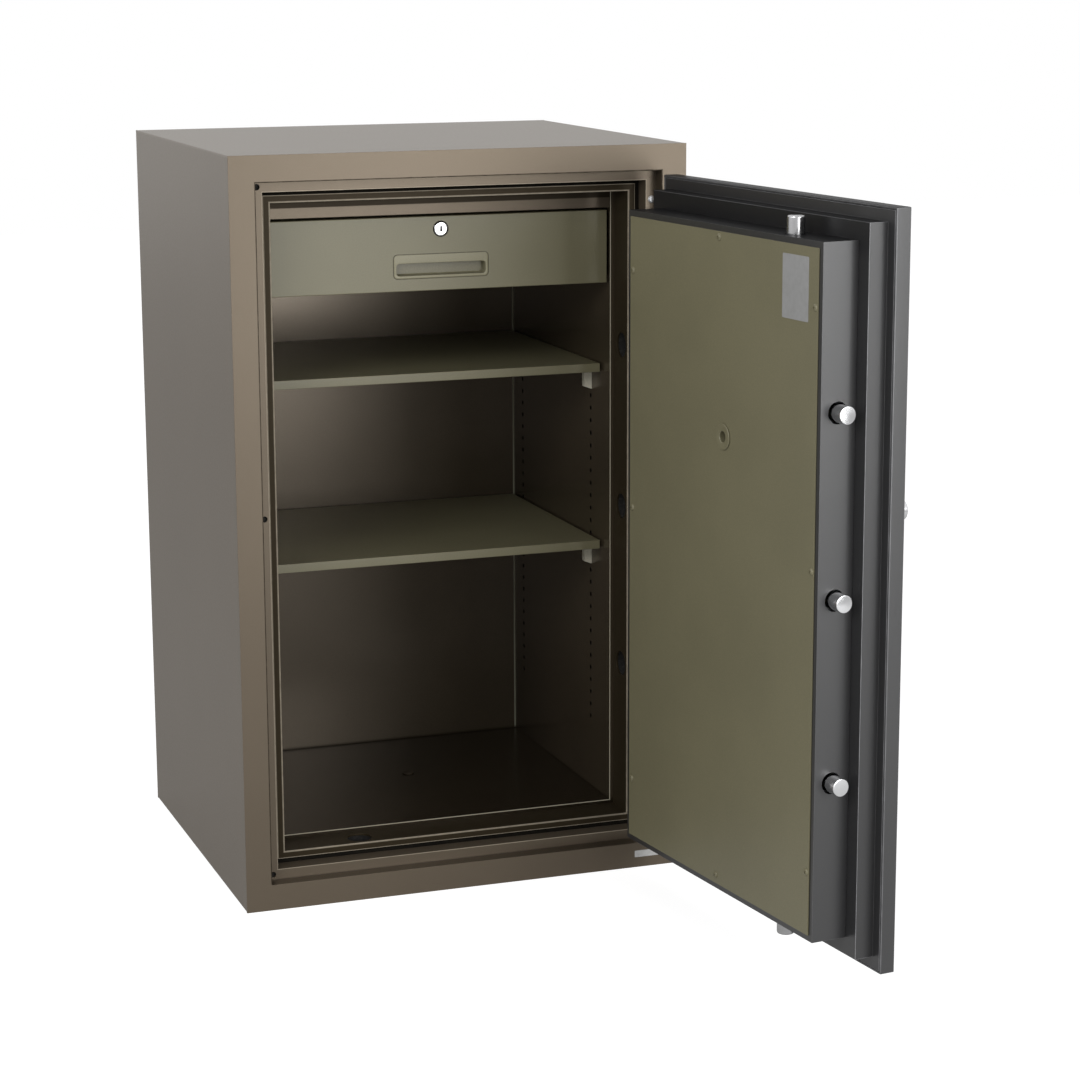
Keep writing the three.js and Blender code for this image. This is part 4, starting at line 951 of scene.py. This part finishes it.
def screws_tree():
    """Sets a domed screw head with a crossed slot at each point, turned by chance."""
    tree, given = new_tree("cover screws", {
        "Head radius": 0.0045, "Head height": 0.0022, "Slot length": 0.0052, "Slot width": 0.0009,
        "Slot depth": 0.0014, "Facing": (0, 0, 0), "Seed": 7, "Finish": None,
    })
    ball = out_of(
        tree, "GeometryNodeMeshUVSphere", {"Segments": 32, "Rings": 16, "Radius": given["Head radius"]},
    )
    flat = maths(tree, "DIVIDE", given["Head height"], given["Head radius"])
    dome = out_of(
        tree, "GeometryNodeTransform", {"Geometry": ball, "Scale": vector_in(tree, 1.0, 1.0, flat)},
    )
    cutter_height = 0.01
    slot_base = maths(tree, "SUBTRACT", given["Head height"], given["Slot depth"])
    lift = vector_in(tree, z=maths(tree, "ADD", slot_base, cutter_height / 2))
    cutters = node_in(tree, "GeometryNodeJoinGeometry")
    for along, across in (("Slot length", "Slot width"), ("Slot width", "Slot length")):
        size = vector_in(tree, given[along], given[across], cutter_height)
        slot = out_of(tree, "GeometryNodeMeshCube", {"Size": size})
        fill(cutters, {0: out_of(tree, "GeometryNodeTransform", {"Geometry": slot, "Translation": lift})})
    head = out_of(
        tree, "GeometryNodeMeshBoolean",
        {"Mesh 1": dome, "Mesh 2": cutters.outputs[0], "Self Intersection": True},
        operation="DIFFERENCE", solver="EXACT",
    )
    number, quarter_turn = out_of(tree, "GeometryNodeInputIndex"), 1.5708
    limits = {"Min": 0.0, "Max": quarter_turn, "ID": number, "Seed": given["Seed"]}
    chance = node_in(tree, "FunctionNodeRandomValue", limits, data_type="FLOAT")
    angle = [socket for socket in chance.outputs if socket.type == "VALUE"][0]
    own = out_of(tree, "FunctionNodeEulerToRotation", {"Euler": vector_in(tree, z=angle)})
    outward = out_of(tree, "FunctionNodeEulerToRotation", {"Euler": given["Facing"]})
    turn = out_of(
        tree, "FunctionNodeRotateRotation", {"Rotation": own, "Rotate By": outward},
        rotation_space="GLOBAL",
    )
    screws = set_at(tree, given["Geometry"], head, {"Rotation": turn})
    return end_tree(tree, screws, given["Finish"])


cover_back, side_x = front_y + 0.0948, (0.220, -0.222)
screw_spots = [(0.000, 0.909), (-0.006, 0.097), *((x, z) for x in side_x for z in (0.847, 0.535, 0.165))]
screw_places = [swing @ Vector((x, cover_back, z)) for x, z in screw_spots]
cover_screws = points_at("cover_screws", screw_places)
with_tree(cover_screws, screws_tree(), {
    "Head radius": 0.0046, "Head height": 0.0023, "Slot length": 0.0052, "Slot width": 0.0009,
    "Slot depth": 0.0013, "Facing": (math.radians(-90), 0.0, door_angle), "Seed": 7, "Finish": khaki_paint,
})
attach(cover_screws, "door")


# The blank label: a thin metallised film, stuck on the cover near its free side. The real one
# is printed, and this one is left bare.
def thin_plate(name, paint, width, height, thick, radius, place, fillet):
    """A small plate with round corners and softened edges, lying in its own XY."""
    loops = []
    for inset, z in ((fillet, 0.0), (0.0, fillet * 0.5), (0.0, thick - fillet), (fillet, thick)):
        outline = rounded_outline(width - 2 * inset, height - 2 * inset, radius, 5)
        loops.append([place @ Vector((x, y, z)) for x, y in outline])
    return made(skinned(bmesh.new(), loops), name, paint)


def satin_foil(name, colour, rubbed):
    """Matt metallised film: a faint brushed grain, slightly rubbed at random."""
    material, tree, shader, here = new_paint(name)
    wear_and_highlight = noise_in(tree, here, 120, 6)
    grain = noise_in(tree, here, 900, 2, (1, 1, 0.05))
    fill(shader, {
        "Base Color": ramp_in(tree, wear_and_highlight, [(0.35, colour), (0.75, rubbed)]),
        "Roughness": spread(tree, grain, 0.4, 0.55),
        "Normal": bump_in(tree, grain, 0.5, 0.00002),
        "Metallic": 0.25,
    })
    return material


label_foil = satin_foil("blank label foil", (0.37, 0.37, 0.37), (0.335, 0.335, 0.33))
to_back = rotated(-90, "X")
label_place = swing @ at(-0.178, cover_back, 0.866) @ to_back
label = thin_plate("blank_label", label_foil, 0.058, 0.076, 0.0004, 0.002, label_place, 0.0001)
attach(label, "door")


# The change-key bush: a turned collar that lines the hole through which the combination is
# changed. Its flat flange lies on the cover.
bush = turned(bmesh.new(), [
    (0.0070, -0.0219), (0.0085, -0.0219), (0.0085, 0.0003), (0.0160, 0.0003), (0.0165, 0.0008),
    (0.0165, 0.0016), (0.0158, 0.0022), (0.0128, 0.0023), (0.0112, 0.0020), (0.0078, 0.0018),
    (0.0070, 0.0010),
], 64, swing @ at(-0.015, cover_back, 0.6646) @ to_back, hollow=True)
key_bush = made(bush, "change_key_collar", khaki_paint)
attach(key_bush, "door")
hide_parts("change_key_bush")


# The locking bolts: solid turned steel bars, chromed, with chamfered ends. Three on the free
# side ride on the carriage, three on the hinge side are fixed, and one leaves at top and bottom.
bolt_y, bolt_radius = -0.2105, 0.011
bolt_steel = polished_metal("drawn bolt steel", (0.47, 0.47, 0.475), 0.17, 0.000005)
to_left, to_right = rotated(-90, "Y"), rotated(90, "Y")


def bolt_profile(length, chamfer):
    """A bolt's outline: its radius drawn in a little at the root and chamfered at the tip."""
    root, shoulder = 0.0095, 0.0015
    return [
        (0, 0), (root, 0), (bolt_radius, shoulder), (bolt_radius, length - chamfer),
        (bolt_radius - chamfer * 0.35, length - chamfer * 0.3), (bolt_radius - chamfer, length),
        (0, length),
    ]


for place, z in (("upper", 0.724), ("middle", 0.500), ("lower", 0.276)):
    bolt = turned(bmesh.new(), bolt_profile(0.074, 0.0012), 64, swing @ at(-0.1825, bolt_y, z) @ to_left)
    side_bolt = made(bolt, f"{place}_side_bolt", chrome)
    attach(side_bolt, "carriage")
    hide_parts(f"side_bolt_{place}")

    bolt = turned(bmesh.new(), [
        (0, 0.0), (0.0145, 0.0), (0.015, 0.0005), (0.015, 0.008), (bolt_radius, 0.008),
        (bolt_radius, 0.0292), (0.0100, 0.0306), (0, 0.0308),
    ], 64, swing @ at(0.2237, bolt_y, z) @ to_right)
    fixed_bolt = made(bolt, f"{place}_fixed_bolt", chrome)
    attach(fixed_bolt, "door")
    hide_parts(f"hinge_side_bolt_{place}")

handle_x, handle_z, lever_y = -0.136, 0.578, -0.358
rod_front, rod_back = -0.217, -0.213
for place, up, tip, pin_z in (("top", 1, 0.9455, 0.648), ("bottom", -1, 0.0565, 0.528)):
    root = tip - up * 0.070
    bolt = bmesh.new()
    stand = rotated(0 if up > 0 else 180, "X")
    turned(bolt, bolt_profile(0.070, 0.0025), 64, swing @ at(handle_x, bolt_y, root) @ stand)
    low, high = sorted((pin_z - up * 0.010, root + up * 0.010))
    block_form(bolt, (handle_x - 0.008, rod_front, low), (handle_x + 0.008, rod_back, high), swing)
    turned(
        bolt, [(0, 0), (0.004, 0), (0.004, 0.011), (0, 0.011)], 24,
        swing @ at(handle_x, rod_back, pin_z) @ to_front,
    )
    if up > 0:
        block_form(bolt, (handle_x, rod_front, 0.705), (-0.092, rod_back, 0.715), swing)
    upright_bolt = made(bolt, f"{place}_upright_bolt", bolt_steel)
    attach(upright_bolt, f"{place}_rod")
    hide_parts(f"{place}_bolt")


# The bolt work inside the box: a carriage plate that carries the side bolts, the crank on the
# handle's spindle that drives it, and the guides, all of bare steel. The cover hides them.
repaint(
    steel, "side_bolt_guide", "top_bolt_guide", "bottom_bolt_guide", "bolt_carriage", "crank_spindle",
    "lock_case",
)


# The handle: a chromed turned hub on a round rose, with a tapering lever towards the hinges
# that is drawn down to an angle of 60 degrees to pull the bolts in.
rose = turned(bmesh.new(), [
    (0.0103, 0.0003), (0.0300, 0.0003), (0.0300, 0.0018), (0.0292, 0.0030), (0.0272, 0.0042),
    (0.0215, 0.0050), (0.0140, 0.0050), (0.0126, 0.0046), (0.0103, 0.0046),
], 96, swing @ at(handle_x, front_y, handle_z) @ to_front, hollow=True)
handle_rose = made(rose, "handle_rose_plate", chrome)
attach(handle_rose, "door")
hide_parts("handle_rose")

hub = turned(bmesh.new(), [
    (0, 0.0006), (0.0098, 0.0006), (0.0100, 0.0010), (0.0100, 0.0520), (0.0106, 0.0545), (0.0120, 0.0575),
    (0.0134, 0.0600), (0.0135, 0.0620), (0.0135, 0.0870), (0.0131, 0.0888), (0.0118, 0.0898), (0, 0.0900),
], 64, swing @ at(handle_x, front_y, handle_z) @ to_front)
turned(hub, [
    (0, 0.0), (0.0120, 0.0), (0.0120, 0.020), (0.0110, 0.060), (0.0096, 0.095), (0.0090, 0.108),
    (0.0084, 0.1135), (0.0066, 0.1166), (0.0036, 0.1178), (0, 0.1180),
], 64, swing @ at(handle_x, lever_y, handle_z) @ to_right)
lever = made(hub, "lever_handle", chrome)
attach(lever, "handle")
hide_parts("handle_lever")


# The combination lock: a chromed ring on the door, and a black turned dial with a knurled grip,
# a hundred engraved marks and the tens in figures, on a brass spindle with its drive cam.
dial_x, dial_z = -0.040, 0.690
dial_place = swing @ at(dial_x, front_y, dial_z) @ to_front
ring = turned(bmesh.new(), [
    (0.0050, 0.0003), (0.0430, 0.0003), (0.0430, 0.0020), (0.0424, 0.0030), (0.0412, 0.0038),
    (0.0395, 0.0040), (0.0360, 0.0040), (0.0352, 0.0036), (0.0050, 0.0036),
], 96, dial_place, hollow=True)
dial_ring = made(ring, "dial_ring_plate", chrome)
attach(dial_ring, "door")
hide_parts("dial_ring")

pointer = thin_plate(
    "dial_pointer", seal_rubber, 0.0022, 0.0060, 0.0006, 0.0003, dial_place @ at(0, 0.0388, 0.0034), 0.0001,
)
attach(pointer, "door")


def knurled_black(name):
    """Black anodised metal: deep, slightly mottled, with a soft turned grain."""
    material, tree, shader, here = new_paint(name)
    bloom = noise_in(tree, here, 70, 5)
    fill(shader, {
        "Base Color": ramp_in(tree, bloom, [(0.35, (0.010, 0.010, 0.011)), (0.7, (0.019, 0.019, 0.020))]),
        "Roughness": spread(tree, bloom, 0.28, 0.42),
        "Normal": bump_in(tree, noise_in(tree, here, 2200, 2), 0.6, 0.00001),
        "Metallic": 0.3,
    })
    return material


dial_black = knurled_black("black dial")
ridges = 72
dial = turned(bmesh.new(), [
    (0.0, 0.0043), (0.0336, 0.0043), (0.0340, 0.0048), (0.0340, 0.0062), (0.0334, 0.0070), (0.0262, 0.0160),
    (0.0250, 0.0163), (0.0196, 0.0163), (0.0190, 0.0168, "knurled"), (0.0190, 0.0178, "knurled"),
    (0.0190, 0.0376, "knurled"), (0.0184, 0.0392, "knurled"), (0.0170, 0.0401), (0.0120, 0.0403),
    (0.0112, 0.0398), (0.0, 0.0397),
], ridges * 2, dial_place, knurl=0.0007)
dial_grip = made(dial, "dial_grip", dial_black, 30)
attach(dial_grip, "dial")
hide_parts("dial_knob")


def chalk_white(name):
    """White filled engraving: slightly uneven matt enamel."""
    material, tree, shader, here = new_paint(name)
    uneven = noise_in(tree, here, 800, 3)
    fill(shader, {
        "Base Color": ramp_in(tree, uneven, [(0.3, (0.62, 0.62, 0.6)), (0.7, (0.8, 0.8, 0.78))]),
        "Roughness": spread(tree, uneven, 0.5, 0.7),
    })
    return material


def dial_marks_tree():
    """Lays the marks of a dial round its cone: long at each ten, middling at each five."""
    tree, given = new_tree("dial marks", {
        "Mark width": 0.0004, "Unit length": 0.0022, "Five length": 0.0034, "Ten length": 0.0044,
        "Lift": 0.0003, "Finish": None,
    })
    number = out_of(tree, "GeometryNodeInputIndex")
    length = given["Unit length"]
    for every, name in ((5.0, "Five length"), (10.0, "Ten length")):
        rest = maths(tree, "MODULO", number, every)
        on_it = out_of(
            tree, "FunctionNodeCompare", {0: rest, 1: 0.5}, data_type="FLOAT", operation="LESS_THAN",
        )
        choice = {"Switch": on_it, "False": length, "True": given[name]}
        length = out_of(tree, "GeometryNodeSwitch", choice, input_type="FLOAT")
    size = vector_in(tree, given["Mark width"], 1.0, given["Lift"])
    block = out_of(tree, "GeometryNodeMeshCube", {"Size": (1.0, 1.0, 1.0)})
    mark = out_of(tree, "GeometryNodeTransform", {
        "Geometry": block, "Translation": (0.0, 0.5, 0.0), "Scale": size,
    })
    lie = out_of(tree, "GeometryNodeInputNamedAttribute", {"Name": "lie"}, data_type="FLOAT_VECTOR")
    marks = set_at(tree, given["Geometry"], mark, {
        "Rotation": lie, "Scale": vector_in(tree, 1.0, length, 1.0),
    })
    return end_tree(tree, marks, given["Finish"])


mark_enamel = chalk_white("white mark enamel")
cone = math.atan2(0.0090, 0.0072)
mark_places, mark_lies = [], []
for i in range(100):
    around = dial_place @ Matrix.Rotation(-2 * math.pi * i / 100, 4, "Z")
    lie = around @ at(0, 0.0332, 0.0073) @ Matrix.Rotation(math.pi - cone, 4, "X")
    mark_places.append(lie.to_translation())
    mark_lies.extend(lie.to_euler())
dial_marks = points_at("dial_marks", mark_places, "lie", "FLOAT_VECTOR", mark_lies)
with_tree(dial_marks, dial_marks_tree(), {
    "Mark width": 0.00035, "Unit length": 0.0020, "Five length": 0.0030, "Ten length": 0.0038,
    "Lift": 0.0002, "Finish": mark_enamel,
})
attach(dial_marks, "dial")

figures = bmesh.new()
for ten in range(10):
    words = bpy.data.curves.new("figure", "FONT")
    words.body, words.size, words.align_x, words.extrude = str(ten * 10), 0.0046, "CENTER", 0.0001
    figure = in_scene("figure", words)
    flat = bpy.data.meshes.new_from_object(figure.evaluated_get(bpy.context.evaluated_depsgraph_get()))
    around = dial_place @ Matrix.Rotation(-2 * math.pi * ten / 10, 4, "Z")
    lie = around @ at(0, 0.0277, 0.01445) @ Matrix.Rotation(-cone, 4, "X")
    flat.transform(lie @ at(0, -0.0015, 0))
    figures.from_mesh(flat)
    bpy.data.objects.remove(figure)
dial_figures = made(figures, "dial_figures", mark_enamel)
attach(dial_figures, "dial")

brass = polished_metal("turned brass", (0.60, 0.43, 0.19), 0.22, 0.000006)
repaint(brass, "dial_spindle", "lock_bolt")


# The key lock: a chromed collar on the door round a turned brass core, which has an upright
# keyway in front and a cam behind.
key_x, key_z = -0.015, 0.540
collar = turned(bmesh.new(), [
    (0.0083, -0.055), (0.0130, -0.055), (0.0130, 0.0003), (0.0180, 0.0003), (0.0180, 0.0022),
    (0.0174, 0.0033), (0.0160, 0.0040), (0.0112, 0.0040), (0.0100, 0.0034), (0.0083, 0.0034),
], 72, swing @ at(key_x, front_y, key_z) @ to_front, hollow=True)
key_collar = made(collar, "key_lock_collar", chrome)
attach(key_collar, "door")
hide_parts("key_lock_body")

core = turned(
    bmesh.new(), [(0, -0.061), (0.0080, -0.061), (0.0080, 0.0030), (0.0075, 0.0038), (0, 0.0040)], 64,
    swing @ at(key_x, front_y, key_z) @ to_front,
)
keyway = block_form(
    bmesh.new(), (key_x - 0.0013, -0.285, key_z - 0.0045), (key_x + 0.0013, -0.270, key_z + 0.0045), swing,
)
core = bored(core, keyway)
block_form(core, (key_x - 0.007, -0.223, key_z), (key_x + 0.007, -0.219, key_z + 0.034), swing)
key_core = made(core, "key_lock_core", brass)
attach(key_core, "key_plug")
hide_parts("key_lock_plug")


# Small fittings on the frame: a steel screw with a crossed slot in the sunk strip at the top
# right, a painted plug in the strip's hole above it, and a small white tag, left bare.
strip_plug = turned(bmesh.new(), [
    (0, -0.0012), (0.0037, -0.0012), (0.0039, -0.0008), (0.0039, 0.0), (0.0046, 0.0001), (0.0043, 0.0005),
    (0, 0.0006),
], 32, at(0.270, strip_y, 0.958) @ to_front)
plug_cap = made(strip_plug, "strip_plug", bronze_paint)
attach(plug_cap, "cabinet")

strip_screw = points_at("strip_screw", [(0.2715, strip_y, 0.925)])
with_tree(strip_screw, screws_tree(), {
    "Head radius": 0.0052, "Head height": 0.0010, "Slot length": 0.0066, "Slot width": 0.0013,
    "Slot depth": 0.0008, "Facing": (math.radians(90), 0.0, 0.0), "Seed": 3, "Finish": steel,
})
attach(strip_screw, "cabinet")

tag_film = satin_foil("blank tag film", (0.62, 0.62, 0.61), (0.5, 0.5, 0.49))
tag = thin_plate(
    "blank_tag", tag_film, 0.036, 0.0095, 0.0002, 0.001, at(0.2595, front_y, 0.0192) @ to_front, 0.00005,
)
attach(tag, "cabinet")


# The room: a pale studio floor that carries the safe's shadow, white all round, and four soft
# lamps: two in front on the right, one in front on the left and a weak one at the left.
def studio_floor():
    """Pale paper that shows its shadows, and is lit up to white where only the camera sees it."""
    material, tree = new_paint("studio floor")[:2]
    tree.nodes.clear()
    here = node_in(tree, "ShaderNodeTexCoord").outputs["Object"]
    tone = ramp_in(tree, noise_in(tree, here, 3, 4), [(0.3, (0.44, 0.44, 0.44)), (0.7, (0.46, 0.46, 0.46))])
    matt = out_of(tree, "ShaderNodeBsdfDiffuse", {"Color": tone})
    path = node_in(tree, "ShaderNodeLightPath").outputs
    bare = maths(tree, "MULTIPLY", path["Is Camera Ray"], 0.84)
    strength = maths(tree, "MULTIPLY_ADD", path["Is Glossy Ray"], 0.25, bare)
    glow = out_of(tree, "ShaderNodeEmission", {"Strength": strength})
    node_in(tree, "ShaderNodeOutputMaterial", {0: out_of(tree, "ShaderNodeAddShader", {0: matt, 1: glow})})
    return material


floor_shape = bmesh.new()
bmesh.ops.create_grid(floor_shape, x_segments=2, y_segments=2, size=9.0, matrix=at(0, 0, -0.0002))
studio = made(floor_shape, "studio_floor", studio_floor())

world = bpy.data.worlds.new("white studio")
bpy.context.scene.world = world
world.use_nodes = True
sky = world.node_tree
sky.nodes.clear()
path = node_in(sky, "ShaderNodeLightPath").outputs
seen = maths(sky, "MAXIMUM", path["Is Camera Ray"], path["Is Glossy Ray"])
seen = maths(sky, "MAXIMUM", seen, path["Is Transmission Ray"])
room_light, white = (
    out_of(sky, "ShaderNodeBackground", {"Color": (1, 1, 1, 1), "Strength": power}) for power in (0.55, 1.0)
)
mixed = out_of(sky, "ShaderNodeMixShader", {0: seen, 1: room_light, 2: white})
node_in(sky, "ShaderNodeOutputWorld", {0: mixed})


def soft_lamp(name, place, aim, width, height, power):
    """A rectangular lamp at a place, turned to what it lights."""
    lamp = bpy.data.lights.new(name, "AREA")
    lamp.shape = "RECTANGLE"
    lamp.size, lamp.size_y, lamp.energy = width, height, power
    holder = in_scene(name, lamp)
    holder.location = place
    holder.rotation_euler = (Vector(aim) - Vector(place)).to_track_quat("-Z", "Y").to_euler()


soft_lamp("front lamp, right and low", (0.9, -2.9, 0.75), (0.0, -0.28, 0.7), 1.3, 1.1, 27)
soft_lamp("front lamp, right and high", (1.5, -3.0, 1.5), (0.0, -0.28, 0.7), 1.3, 1.3, 12)
soft_lamp("front lamp, left", (-2.2, -2.4, 2.0), (0.0, -0.3, 0.6), 1.2, 1.2, 29)
soft_lamp("left lamp", (-3.2, -0.8, 1.8), (0.0, -0.3, 0.6), 1.8, 1.8, 10)

view = bpy.data.cameras.new("camera")
view.sensor_width = 36.0
view.lens = 93.87
camera = in_scene("camera", view)
camera.location = (-1.14476, -3.76428, 1.25278)
camera.rotation_euler = tuple(math.radians(angle) for angle in (78.151, 0.213, -19.75))
bpy.context.scene.camera = camera
bpy.context.scene.view_settings.view_transform = "Standard"
